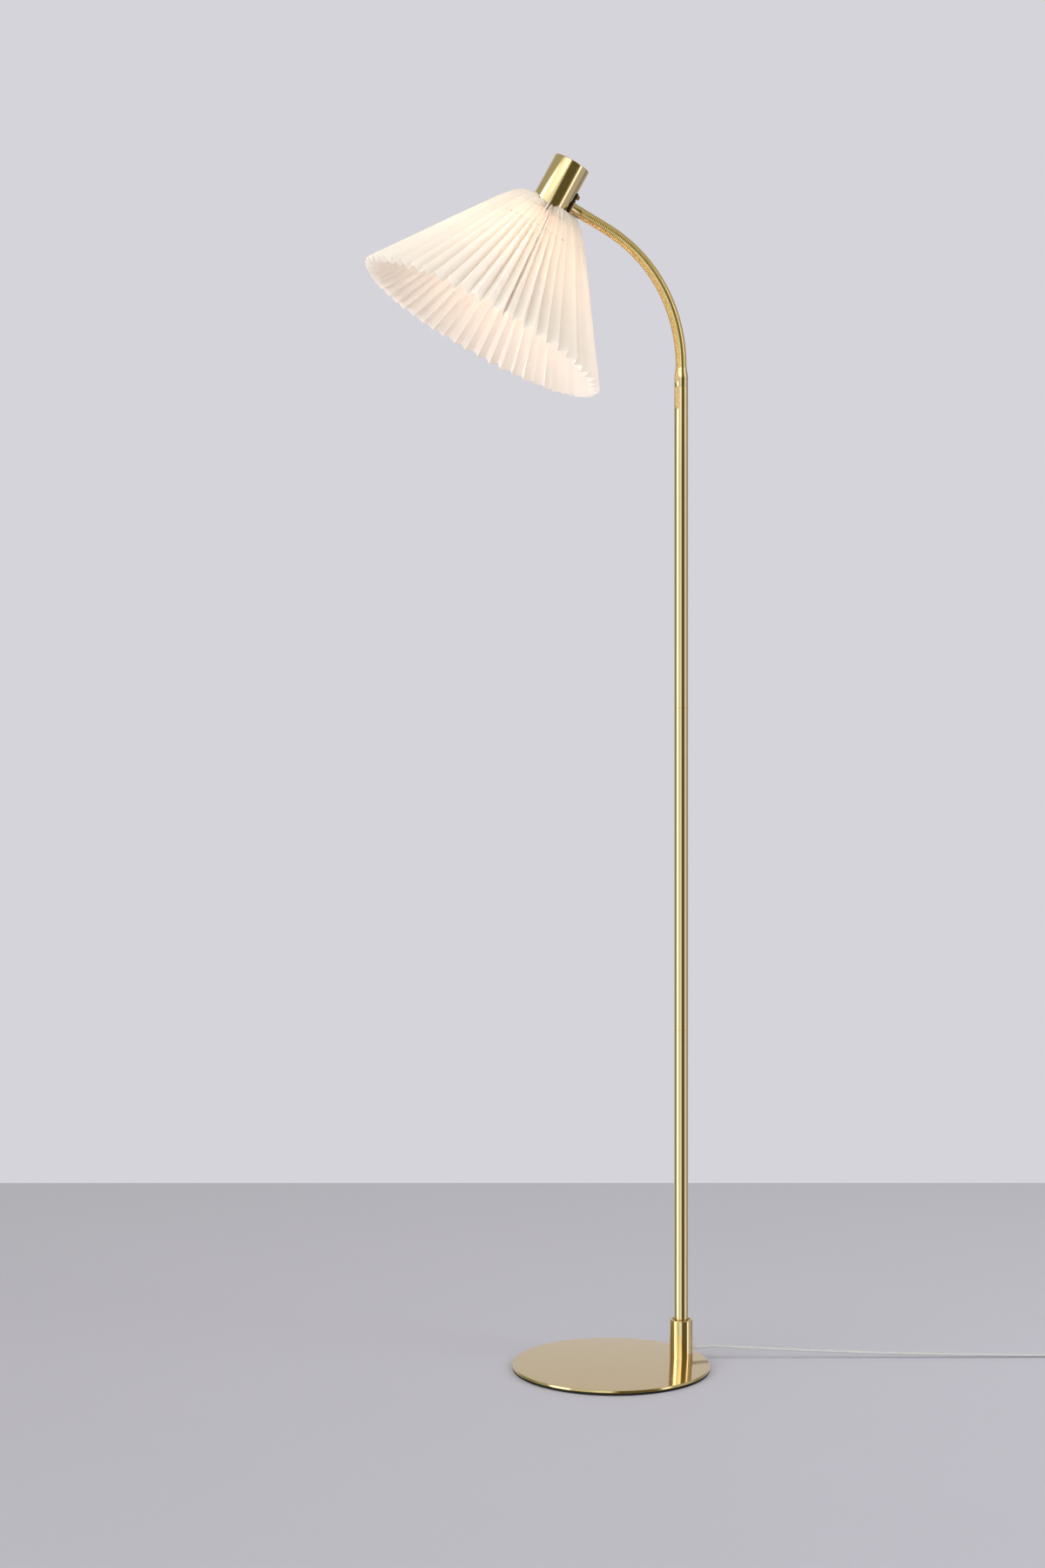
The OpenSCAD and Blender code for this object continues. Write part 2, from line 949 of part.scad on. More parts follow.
bulb_globe();
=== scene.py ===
"""Floor reading lamp: a brass base and pole, a bendable ribbed arm and a pleated cone shade that
is lit from inside. Each operator makes one piece or a group of like pieces round the CAD frame."""

import math

import bmesh
import bpy
from mathutils import Matrix, Vector


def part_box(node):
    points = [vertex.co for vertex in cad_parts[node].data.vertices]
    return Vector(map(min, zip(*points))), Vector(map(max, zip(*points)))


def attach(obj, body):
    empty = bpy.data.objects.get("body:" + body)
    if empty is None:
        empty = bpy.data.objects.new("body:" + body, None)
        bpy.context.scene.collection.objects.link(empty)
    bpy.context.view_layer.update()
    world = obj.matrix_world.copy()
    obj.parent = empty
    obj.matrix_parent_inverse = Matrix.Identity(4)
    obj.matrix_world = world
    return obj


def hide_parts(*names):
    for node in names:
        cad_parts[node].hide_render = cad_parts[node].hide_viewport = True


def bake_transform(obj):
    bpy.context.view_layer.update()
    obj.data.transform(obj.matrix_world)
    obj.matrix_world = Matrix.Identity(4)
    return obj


bl_info = {
    "name": "Floor reading lamp",
    "version": (1, 0, 0),
    "blender": (4, 5, 0),
    "location": "3D View > Sidebar > Lamp",
    "description": "Brass floor lamp with a bendable arm and a pleated shade",
    "category": "Object",
}

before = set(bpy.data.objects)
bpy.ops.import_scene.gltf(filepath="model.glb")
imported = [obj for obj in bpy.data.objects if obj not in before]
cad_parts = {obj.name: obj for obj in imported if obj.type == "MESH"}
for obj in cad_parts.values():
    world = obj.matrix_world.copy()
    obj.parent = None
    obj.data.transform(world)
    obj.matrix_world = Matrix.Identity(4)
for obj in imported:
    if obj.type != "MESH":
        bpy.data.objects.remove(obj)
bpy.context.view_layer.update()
MM = 0.001
# Share of the light that goes through the shade's film
FILM_PASSES = 0.38
# Bands that a wave texture of scale 1 draws in a metre
WAVE_BANDS = 20

# Kinds of node that come up often, the first two with their operation after the colon, and
# the range of a random offset
MATH, VECTOR = "ShaderNodeMath:", "ShaderNodeVectorMath:"
SEPARATE, COMBINE = "ShaderNodeSeparateXYZ", "ShaderNodeCombineXYZ"
MAP_RANGE, MIX, MIX_SHADER = "ShaderNodeMapRange", "ShaderNodeMix", "ShaderNodeMixShader"
NOISE, WAVE = "ShaderNodeTexNoise", "ShaderNodeTexWave"
SAMPLE, RANDOM = "GeometryNodeSampleCurve", "FunctionNodeRandomValue"
BEZIER = "GeometryNodeCurvePrimitiveBezierSegment"
CIRCLE = "GeometryNodeCurvePrimitiveCircle"
SPREAD = {"Min": (-1, -1, -1), "Max": (1, 1, 1)}


def linear(code):
    """Linear colour of an sRGB hex value."""
    parts = [int(code[i : i + 2], 16) / 255 for i in (1, 3, 5)]
    return tuple(v / 12.92 if v <= 0.04045 else ((v + 0.055) / 1.055) ** 2.4 for v in parts)


def rotation(degrees, axis):
    """Turn about the local axis of that name."""
    return Matrix.Rotation(math.radians(degrees), 4, axis)


def raised(height):
    """Shift along the local Z axis."""
    return Matrix.Translation((0, 0, height))


# ---------------------------------------------------------------- sizes from the CAD frame

HERE = Matrix.Identity(4)
SLEEVE_LOW, SLEEVE_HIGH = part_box("base_sleeve")
PLATE_LOW, PLATE_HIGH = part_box("base_plate")
POLE_AXIS = Vector(((SLEEVE_LOW.x + SLEEVE_HIGH.x) / 2, 0, 0))
POLE_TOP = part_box("pole_upper")[1].z
CAP_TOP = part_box("pole_cap")[1].z

# The arm's links: lengths and the turn at each of its nine bends, as the CAD builds them
ARM_TURN = 11.1
ARM_BENDS = (6, 6.5, 7, 7, 7.5, 7.5, 7.5, 7, 5.5)
LINK_LENGTHS = (12 * MM, *[23.2 * MM] * 8, 36 * MM)
HOSE_RADIUS = 6.65 * MM
FERRULE_LENGTH = 13.5 * MM
FLANGE_THICKNESS = 1.1 * MM
HOUSING_RADIUS = 23 * MM
HOUSING_LENGTH = 62 * MM
SADDLE_THICKNESS = 1.7 * MM
HEAD_TWIST = -8.6
# Depths below the top of the housing
ARM_DROP = 46 * MM
SWITCH_DROP = 32 * MM
GLOBE_DROP = 118 * MM
GLOBE_RADIUS = 30 * MM
# Radius and depth in mm of the shade's outer folds at its rim, and how far the rim leans.
# The lean takes hold beyond the radius at which the folds turn down.
SHADE_RIM = (160.4, 225)
SHADE_LEAN = math.radians(6)
RIDGE_SHOULDER, VALLEY_SHOULDER = 50.3, 41.2

# The flat cord's size and centre line in mm, as the CAD lays it
CORD_WIDTH, CORD_THICKNESS = 5.6, 3
CORD_EXIT = (127.5, 0, 15.5)
PLUG_HALF_HEIGHT = 6.85
CORD_ROUTE = (
    CORD_EXIT, (135, -0.8, 15.3), (146, -4, 14.7), (160, -9, 13.8),
    (180, -15.5, 12.6), (200, -22, 11.6), (220, -28.5, 10.6), (240, -35.5, 9.6),
    (260, -42, 8.8), (280, -49, 8), (300, -55.5, 7.2), (320, -62.5, 6.5),
    (340, -69, 5.9), (360, -76, 5.4), (380, -82.5, 4.9), (400, -89, 4.4),
    (420, -95.5, 4), (440, -102, 3.6), (460, -108.5, 3.3), (480, -115, 3),
    (500, -121.5, 2.7), (520, -128, 2.5), (540, -133.5, 2.3), (560, -138.5, 2.2),
    (582, -143.5, 2.1), (604.4, -148, 2.1),
)
TAIL_ROUTE = (
    (657.6, -108, 5.3), (657.6, -98, 4.6), (657, -88, 3.6), (656, -78, 2.6),
    (654.5, -68, 1.9), (653, -58, 1.9), (651.5, -48, 3.2), (650.5, -39, 5.2),
    (650, -30, PLUG_HALF_HEIGHT),
)
COIL_CENTRE = (616, -108)
COIL_OUTER, COIL_INNER = 41.6, 24.2
# Heights of the coil's two layers of turns above the floor
COIL_LAYERS = (2.1, 5.3)
PLUG_AT = Vector((650, 22, PLUG_HALF_HEIGHT)) * MM


def link_matrix(i):
    """Frame of link i of the arm: +Z along the link, +X away from the pole in the arm's plane."""
    place = Matrix.Translation(POLE_AXIS) @ rotation(180 - ARM_TURN, "Z") @ raised(CAP_TOP)
    for length, bend in zip(LINK_LENGTHS[:i], ARM_BENDS):
        place = place @ raised(length) @ rotation(bend, "Y")
    return place


LAST_LINK = len(ARM_BENDS)
HEAD_AXIS = FERRULE_LENGTH + FLANGE_THICKNESS + HOUSING_RADIUS + SADDLE_THICKNESS
ARM_END = link_matrix(LAST_LINK) @ rotation(HEAD_TWIST, "Z")
HEAD = ARM_END @ raised(LINK_LENGTHS[-1] + HEAD_AXIS) @ rotation(-90, "Y") @ raised(ARM_DROP)


# ---------------------------------------------------------------- properties


def colour_prop(name, description, code):
    settings = {"name": name, "description": description, "default": linear(code)}
    return bpy.props.FloatVectorProperty(subtype="COLOR", size=3, min=0, max=1, **settings)


def length_prop(name, description, millimetres):
    settings = {"name": name, "description": description, "default": millimetres * MM}
    return bpy.props.FloatProperty(
        subtype="DISTANCE", unit="LENGTH", min=0, precision=4, **settings
    )


class LampFinishes(bpy.types.PropertyGroup):
    brass: colour_prop("Brass", "Colour that the polished brass reflects", "#e4cb9c")
    plate: colour_prop("Plate", "Colour that the base plate reflects", "#dcc28e")
    arm_brass: colour_prop("Arm brass", "Colour that the ribbed arm reflects", "#e8c98a")
    film: colour_prop("Shade film", "Colour of the pleated film", "#f6f1ec")
    glow: colour_prop("Glow", "Colour of the bulb's light", "#ffead4")
    wall: colour_prop("Backdrop", "Colour of the plain backdrop", "#d5d4da")
    floor: colour_prop("Floor", "Colour of the plain floor", "#c9c5d7")


class LampSizes(bpy.types.PropertyGroup):
    rib_depth: length_prop("Rib depth", "Depth of the grooves between the arm's ribs", 0.38)
    rib_pitch: length_prop("Rib pitch", "Distance from one rib of the arm to the next", 2.15)
    film_thickness: length_prop("Film thickness", "Thickness of the shade's film", 0.45)
    pleats: bpy.props.IntProperty(
        name="Pleats", description="Number of pleats round the shade", default=56, min=12
    )
    unevenness: bpy.props.FloatProperty(
        name="Unevenness",
        description="How far the hand-set pleats stray from an even spacing",
        subtype="FACTOR",
        default=0.35,
        min=0,
        max=1,
    )
    bulb_power: bpy.props.FloatProperty(
        name="Bulb power",
        description="Radiant power of the bulb's light",
        subtype="POWER",
        unit="POWER",
        default=0.75,
        min=0,
    )


# ---------------------------------------------------------------- making meshes


def socket(sockets, key):
    """The socket of that name or number which the node's settings leave in use."""
    if isinstance(key, int):
        return sockets[key]
    return next(s for s in sockets if s.name == key and s.enabled)


def add(tree, kind, inputs=(), **settings):
    """Adds one node. kind may end with a colon and the node's operation; settings are its other
    properties. inputs are its sockets' values or feeds, by name or number or in their order,
    and a node given as a feed sends the first output that it has in use."""
    kind, _, operation = kind.partition(":")
    made = tree.nodes.new(kind)
    if operation:
        made.operation = operation
    for name, value in settings.items():
        setattr(made, name, value)
    for key, value in inputs.items() if isinstance(inputs, dict) else enumerate(inputs):
        if isinstance(value, bpy.types.Node):
            value = next(s for s in value.outputs if s.enabled)
        if isinstance(value, bpy.types.NodeSocket):
            tree.links.new(value, socket(made.inputs, key))
        else:
            socket(made.inputs, key).default_value = value
    return made


def piece(name, mesh, body, material, replaces=(), sharp=40):
    """A finished object of this mesh that rides on a body and stands for some CAD nodes."""
    mesh.name = name
    made = bpy.data.objects.new(name, mesh)
    bpy.context.scene.collection.objects.link(made)
    if not mesh.materials:
        mesh.materials.append(finish(material))
    mesh.polygons.foreach_set("use_smooth", [True] * len(mesh.polygons))
    mesh.set_sharp_from_angle(angle=math.radians(sharp))
    if body:
        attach(made, body)
    if replaces:
        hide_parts(*replaces)
    return made


def mesh_of(work):
    """The mesh that the edits have made."""
    made = bpy.data.meshes.new("mesh")
    work.to_mesh(made)
    work.free()
    return made


def joined(meshes):
    """One mesh of several."""
    work = bmesh.new()
    for mesh in meshes:
        work.from_mesh(mesh)
    return mesh_of(work)


def skinned(rings):
    """A closed skin over rings of points, with a flat face at each end, still open to edits."""
    work = bmesh.new()
    rows = [[work.verts.new(point) for point in ring] for ring in rings]
    for ring, following in zip(rows, rows[1:]):
        for k in range(len(ring)):
            n = (k + 1) % len(ring)
            work.faces.new((ring[k], ring[n], following[n], following[k]))
    work.faces.new(list(reversed(rows[0])))
    work.faces.new(rows[-1])
    bmesh.ops.recalc_face_normals(work, faces=work.faces)
    return work


def rounded(corners, steps=5):
    """Outline (radius, height in mm) with each corner given as radius, height and its fillet."""
    line = []
    for i, (x, y, fillet) in enumerate(corners):
        here = Vector((x, y))
        if not fillet or i in (0, len(corners) - 1):
            line.append(here)
            continue
        before = (Vector(corners[i - 1][:2]) - here).normalized()
        after = (Vector(corners[(i + 1) % len(corners)][:2]) - here).normalized()
        half = before.angle(after) / 2
        back = fillet / math.tan(half)
        centre = here + (before + after).normalized() * fillet / math.sin(half)
        a, b = here + before * back - centre, here + after * back - centre
        for k in range(steps + 1):
            part = (a * (1 - k / steps) + b * (k / steps)).normalized() * fillet
            line.append(centre + part)
    return line


def turned(outline, place, segments=128, closed=False):
    """Mesh of revolution of an outline (radius, height in mm) about the local Z axis."""
    work = bmesh.new()
    points = [work.verts.new((r * MM, 0, z * MM)) for r, z in outline]
    pairs = list(zip(points, points[1:]))
    if closed:
        pairs.append((points[-1], points[0]))
    edges = [work.edges.new(p) for p in pairs]
    bmesh.ops.spin(
        work,
        geom=points + edges,
        cent=(0, 0, 0),
        axis=(0, 0, 1),
        angle=2 * math.pi,
        steps=segments,
        use_merge=True,
    )
    bmesh.ops.remove_doubles(work, verts=work.verts, dist=1e-6)
    bmesh.ops.recalc_face_normals(work, faces=work.faces)
    work.transform(place)
    return mesh_of(work)


def swept(line, outline):
    """Mesh of a closed outline (sideways, upwards in metres) carried along a line of points."""
    rings = []
    for i, here in enumerate(line):
        ahead = (line[min(len(line) - 1, i + 1)] - line[max(0, i - 1)]).normalized()
        side = Vector((0, 0, 1)).cross(ahead).normalized()
        above = ahead.cross(side)
        rings.append([here + side * a + above * b for a, b in outline])
    return mesh_of(skinned(rings))


def smooth_route(route, steps):
    """Catmull-Rom line through the route's points."""
    points = [Vector(p) for p in route]
    line = []
    for i in range(len(points) - 1):
        p0, p1 = points[max(0, i - 1)], points[i]
        p2, p3 = points[i + 1], points[min(len(points) - 1, i + 2)]
        for s in range(steps):
            t = s / steps
            square = (2 * p0 - 5 * p1 + 4 * p2 - p3) * t * t
            cube = (3 * p1 - p0 - 3 * p2 + p3) * t * t * t
            line.append((2 * p1 + (p2 - p0) * t + square + cube) / 2)
    return line + [points[-1]]


def new_tree(tree_name, **sizes):
    """An empty Geometry Nodes tree with named inputs, listed by their kind, and one for its
    material; returns it and what the inputs feed."""
    tree = bpy.data.node_groups.new(tree_name, "GeometryNodeTree")
    sockets = [("Geometry", "INPUT", "Geometry"), ("Geometry", "OUTPUT", "Geometry")]
    sockets += [(name, "INPUT", kind) for kind, names in sizes.items() for name in names]
    for name, way, kind in (*sockets, ("Material", "INPUT", "Material")):
        tree.interface.new_socket(name, in_out=way, socket_type="NodeSocket" + kind)
    return tree, add(tree, "NodeGroupInput").outputs


def unit_grid(tree, across, along):
    """A grid of so many steps each way, and how far each point lies across and along it, from
    0 to 1."""
    columns, rows = (add(tree, MATH + "ADD", [steps, 1]) for steps in (across, along))
    sizes = {"Size X": 1, "Size Y": 1, "Vertices X": columns, "Vertices Y": rows}
    grid = add(tree, "GeometryNodeMeshGrid", sizes)
    here = add(tree, "GeometryNodeInputPosition")
    from_corner = add(tree, VECTOR + "ADD", [here, (0.5, 0.5, 0)])
    at = add(tree, SEPARATE, {"Vector": from_corner}).outputs
    return grid, at["X"], at["Y"]


def laid(tree, grid, place, gap):
    """The grid with its points in their place and closed where its edges meet within a gap."""
    moved = add(tree, "GeometryNodeSetPosition", {"Geometry": grid, "Position": place})
    return add(tree, "GeometryNodeMergeByDistance", {"Geometry": moved, "Distance": gap})


def tree_end(tree, geometry, given):
    """Realizes what the tree made, gives it its material and sends it out."""
    real = add(tree, "GeometryNodeRealizeInstances", {"Geometry": geometry})
    coated = {"Geometry": real, "Material": given["Material"]}
    done = add(tree, "GeometryNodeSetMaterial", coated)
    add(tree, "NodeGroupOutput", {"Geometry": done})


def grown(tree, values, place=HERE, wall=0.0):
    """Runs a tree with these input values and returns the result as a plain mesh in its place.
    wall is the thickness of a film that the tree makes as a bare surface."""
    bed = bpy.data.objects.new("bed", bpy.data.meshes.new("bed"))
    bpy.context.scene.collection.objects.link(bed)
    shape = bed.modifiers.new("Shape", "NODES")
    shape.node_group = tree
    for item in tree.interface.items_tree:
        if item.in_out == "INPUT" and item.name in values:
            shape[item.identifier] = values[item.name]
    if wall:
        thick = bed.modifiers.new("Wall", "SOLIDIFY")
        thick.thickness = wall
        thick.offset = 0
        thick.use_even_offset = False
    graph = bpy.context.evaluated_depsgraph_get()
    mesh = bpy.data.meshes.new_from_object(
        bed.evaluated_get(graph), preserve_all_data_layers=True, depsgraph=graph
    )
    bpy.data.objects.remove(bed)
    work = bmesh.new()
    work.from_mesh(mesh)
    bmesh.ops.recalc_face_normals(work, faces=work.faces)
    work.transform(place)
    work.to_mesh(mesh)
    work.free()
    return mesh


# ---------------------------------------------------------------- materials


def tone(key, by=1.0):
    """Four-part colour, by times as light as an sRGB hex value or the panel's finish so named."""
    plain = linear(key) if key[0] == "#" else getattr(bpy.context.scene.lamp_finishes, key)
    return (*(min(1, c * by) for c in plain), 1.0)


def pattern(tree, kind, size, inputs=None, **settings):
    """A texture that lies in the object's own space, with features of this size in mm."""
    place = add(tree, "ShaderNodeTexCoord").outputs["Object"]
    inputs = {"Vector": place, "Scale": 1 / (size * MM), **(inputs or {})}
    return add(tree, kind, inputs, **settings)


def surface(tree, mask, tones, rough, relief=0.0, looks=None, middle=(0.3, 0.7), height=None):
    """A surface in two close tones that a mask mixes. rough is its roughness, or the two values
    that it goes between over the mask's middle. The mask, or height, raises it by relief mm."""
    mixed = {"Factor": mask, "A": tones[0], "B": tones[1]}
    inputs = {"Base Color": add(tree, MIX, mixed, data_type="RGBA"), **(looks or {})}
    if isinstance(rough, tuple):
        keys = ("From Min", "From Max", "To Min", "To Max")
        span = dict(zip(keys, (*middle, *rough)))
        rough = add(tree, MAP_RANGE, {"Value": mask, **span})
    inputs["Roughness"] = rough
    if relief:
        bumps = {"Height": mask if height is None else height, "Distance": relief * MM}
        inputs["Normal"] = add(tree, "ShaderNodeBump", bumps)
    return add(tree, "ShaderNodeBsdfPrincipled", inputs)


def brass(tree, colour, rough, wave):
    """Electroplated brass, buffed and lacquered: a mirror that is a little soft, with faint
    waves from the buffing wheel and a slightly uneven lacquer."""
    uneven = pattern(tree, NOISE, 14, {"Detail": 3})
    waves = pattern(tree, NOISE, 45, {"Detail": 1})
    wiped = pattern(tree, NOISE, 0.9)
    height = add(tree, MATH + "MULTIPLY_ADD", [wiped, 0.02, waves])
    tones = tone(colour, 0.97), tone(colour, 1.03)
    return surface(tree, uneven, tones, rough, wave, {"Metallic": 1}, height=height)


def grained(tree, dark, light, size, rough, relief, looks=None):
    """A moulding or a sheet of one colour in two close tones, with a fine grain."""
    grain = pattern(tree, NOISE, size)
    return surface(tree, grain, (tone(dark), tone(light)), rough, relief, looks)


def twisted(tree, dark, light, lay, distortion, rough, relief, looks=None):
    """Strands laid or twisted together, whose slanting lines are lay mm apart."""
    bands = {"Distortion": distortion}
    lines = pattern(tree, WAVE, lay * WAVE_BANDS, bands, bands_direction="DIAGONAL")
    return surface(tree, lines, (tone(dark), tone(light)), rough, relief, looks, (0, 1))


def shade_film(tree):
    """Pleated film. Its inner face doesn't shade its outer one."""
    cloud = pattern(tree, NOISE, 22, {"Detail": 3})
    fibre = pattern(tree, NOISE, 1.2, {"Detail": 3, "Roughness": 0.6})
    mixed = {"Factor": cloud, "A": tone("film", 0.97), "B": tone("film", 1.02)}
    colour = add(tree, MIX, mixed, data_type="RGBA")
    bumps = add(tree, "ShaderNodeBump", {"Height": fibre, "Distance": 0.03 * MM})
    looks = {"Base Color": colour, "Roughness": 0.62, "IOR": 1.45, "Normal": bumps}
    solid = add(tree, "ShaderNodeBsdfPrincipled", looks)
    through = add(tree, "ShaderNodeBsdfTranslucent", {"Color": colour, "Normal": bumps})
    sheet = add(tree, MIX_SHADER, {0: FILM_PASSES, 1: solid, 2: through})
    clear = add(tree, "ShaderNodeBsdfTransparent")
    back = add(tree, "ShaderNodeNewGeometry").outputs["Backfacing"]
    passing = add(tree, MIX_SHADER, {0: back, 1: sheet, 2: clear})
    shadow = add(tree, "ShaderNodeLightPath").outputs["Is Shadow Ray"]
    return add(tree, MIX_SHADER, {0: shadow, 1: sheet, 2: passing})


def opal_globe(tree):
    """Lit diffuser that glows evenly, a little less towards its rim."""
    rim = add(tree, "ShaderNodeLayerWeight", {"Blend": 0.3}).outputs["Facing"]
    mixed = {"Factor": rim, "A": tone("glow"), "B": tone("glow", 0.8)}
    light = add(tree, MIX, mixed, data_type="RGBA")
    looks = {"IOR": 1.5, "Emission Color": light, "Emission Strength": 1}
    return grained(tree, "#f4f0e8", "#fbf8f2", 18, 0.35, 0, looks)


def painted_floor(tree):
    """Floor that is almost even, with a very soft cloud."""
    tones = tone("floor", 0.985), tone("floor", 1.015)
    return surface(tree, pattern(tree, NOISE, 400), tones, 0.6)


def paper_backdrop(tree):
    """Backdrop that is evenly lit, and seen from its front only."""
    front = add(tree, "ShaderNodeEmission", {"Color": tone("wall"), "Strength": 1})
    clear = add(tree, "ShaderNodeBsdfTransparent")
    back = add(tree, "ShaderNodeNewGeometry").outputs["Backfacing"]
    return add(tree, MIX_SHADER, {0: back, 1: front, 2: clear})


# What makes each material, followed by what that is given
MATERIALS = {
    # Brass plate on steel, mirror polished and lacquered: sharp bands of the room in pale gold
    "Polished brass": (brass, "brass", (0.04, 0.08), 0.05),
    # Heavy steel disc, brass plated and lacquered: flat, with a slightly clouded reflection
    "Brass-plated steel": (brass, "plate", (0.07, 0.11), 0.01),
    # Brass strip wound into a flexible tube: warmer and less polished than the turned parts
    "Rolled brass": (brass, "arm_brass", (0.12, 0.2), 0.02),
    # Brass as machined, without lacquer: duller and a little browner all over than the lacquered
    # brass
    "Bare brass": (brass, "#c9a866", (0.22, 0.36), 0.03),
    # Small turned brass button in a darker brass all over: the darker colour is painted shade that
    # stands in for the dark reflection on its side
    "Aged brass": (brass, "#b98f55", (0.12, 0.22), 0.02),
    # Zinc-plated mild steel: bluish grey with the soft spangle of the plating bath
    "Zinc steel": (grained, "#b4b8bc", "#cfd1d0", 2.5, (0.25, 0.4), 0.02, {"Metallic": 1}),
    # Die-cut black rubber foam sheet: matt, with fine closed pores
    "Black rubber": (grained, "#0f0f0f", "#1e1d1c", 0.8, (0.7, 0.9), 0.1),
    # Black phenolic or polyamide moulding: deep black with a fine spark-eroded grain
    "Black plastic": (grained, "#121212", "#1b1a1a", 0.5, (0.35, 0.5), 0.02),
    # White polycarbonate or PVC moulding: satin, very slightly warm, with a fine grain
    "White plastic": (grained, "#e9e7e2", "#f2f0ec", 0.6, (0.3, 0.42), 0.015),
    # Clear plasticised PVC, extruded: glossy, clouded white by the powder that it is packed in
    "Milky PVC": (
        grained, "#e8e8ec", "#f6f6f8", 6, 0.14, 0.05, {"IOR": 1.53, "Transmission Weight": 0.35},
    ),
    # Two stranded conductors, tinned copper: silvery with the slanting lines of the lay
    "Tinned copper": (
        twisted, "#c9c6c2", "#e4e2de", 1.6, 0.4, (0.3, 0.42), 0.08, {"Metallic": 1},
    ),
    # Twisted white polyester sewing thread: its twist is drawn 1.2 mm apart so that it shows
    "Sewing thread": (twisted, "#ebe2d8", "#f6efe8", 1.2, 1, 0.8, 0.08),
    # White styrene film bonded to paper, folded by hand: matt, it lets the bulb's warm light
    # through and shows the faint cloud of the paper
    "Shade film": (shade_film,),
    # Opal polycarbonate, moulded: satin and even, so that no filament shows through it
    "Opal globe": (opal_globe,),
    # Plain pale floor with a matt oil finish
    "Painted floor": (painted_floor,),
    # Seamless paper
    "Paper backdrop": (paper_backdrop,),
}


def finish(name):
    """The material of that name, made the first time that it is asked for."""
    made = bpy.data.materials.get(name)
    if made is None:
        made = bpy.data.materials.new(name)
        made.use_nodes = True
        tree = made.node_tree
        tree.nodes.clear()
        maker, *given = MATERIALS[name]
        add(tree, "ShaderNodeOutputMaterial", {"Surface": maker(tree, *given)})
    return made


def paint(material, *nodes):
    """Gives CAD nodes that stay as they are a material."""
    for name in nodes:
        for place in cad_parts[name].material_slots:
            place.material = finish(material)


# ---------------------------------------------------------------- cord


def circle(points, first=0.5):
    """Cosine and sine at even steps round a circle, from this part of a step onwards."""
    angles = [2 * math.pi * (k + first) / points for k in range(points)]
    return [(math.cos(a), math.sin(a)) for a in angles]


def on_coil(radius, degrees, height):
    """Point in mm, this far from the coil's centre in this direction."""
    a = math.radians(degrees)
    x, y = COIL_CENTRE
    return Vector((x + radius * math.cos(a), y + radius * math.sin(a), height))


def coil_line():
    """The coil's turns in mm: three turns inwards on the floor, then three outwards on them."""
    # Direction of the first turn's start, length of each layer and of the climb between them in
    # turns, and steps in a turn
    first, turns_in, climb, turns_out, steps = 253.7, 3.0, 0.3, 2.9953, 48
    width = COIL_OUTER - COIL_INNER
    low, high = COIL_LAYERS
    line = []
    for k in range(1, int(turns_in * steps) + 1):
        t = k / steps
        line.append(on_coil(COIL_OUTER - width * t / turns_in, first + 360 * t, low))
    for k in range(1, int(climb * steps) + 1):
        t = k / (climb * steps)
        rise = t * t * (3 - 2 * t)
        place = first + 360 * (turns_in + climb * t)
        line.append(on_coil(COIL_INNER, place, low + (high - low) * rise))
    begin = first + 360 * (turns_in + climb)
    count = int(turns_out * steps)
    for k in range(1, count + 1):
        t = k / count
        line.append(on_coil(COIL_INNER + width * t, begin + 360 * turns_out * t, high))
    return line


def cord_line():
    """The whole centre line of the cord, from inside its relief to inside its plug."""
    in_relief = (118, 0, CORD_EXIT[2])
    in_plug = (650, -22, PLUG_HALF_HEIGHT)
    lead = smooth_route((in_relief, *CORD_ROUTE), 4)
    tail = smooth_route((*TAIL_ROUTE, in_plug), 4)
    # The tail's first point is the coil's last one
    return [p * MM for p in lead + coil_line() + tail[1:]]


def twin_outline(width, thickness):
    """Outline of two cores side by side with a shallow waist between them."""
    r = thickness / 2
    out = width / 2 - r
    # The flat between the cores, their roundness, and the waist's depth and half width
    flat, roundness, waist, reach = 1.6, 0.98, 0.16, 0.5
    line = []
    for c, s in circle(20):
        x = out * (1 if c > 0 else -1) * min(1, abs(c) * flat) + r * c * roundness
        line.append((x, r * s * (1 - waist * math.exp(-((x / (out * reach)) ** 2)))))
    return line


def soften(work, edges, radius, segments):
    """Rounds these edges by a radius in mm."""
    bmesh.ops.bevel(work, geom=edges, offset=radius * MM, segments=segments, affect="EDGES")


def sharp_edges(work):
    """Edges at which two faces turn by more than a radian."""
    return [e for e in work.edges if e.calc_face_angle(0) > 1.0]


class LAMP_OT_camera(bpy.types.Operator):
    """Places the level camera in front of the lamp, a little to its left"""

    bl_idname = "lamp.camera"
    bl_label = "Camera"

    def execute(self, context):
        data = bpy.data.cameras.new("Camera")
        data.lens = 49.2
        data.sensor_width = 36
        data.clip_start, data.clip_end = 0.05, 100
        camera = bpy.data.objects.new("Camera", data)
        context.scene.collection.objects.link(camera)
        camera.location = (-0.9416, -2.3958, 0.701)
        camera.rotation_euler = (math.radians(90), 0, math.radians(-19.09))
        context.scene.camera = camera
        return {"FINISHED"}


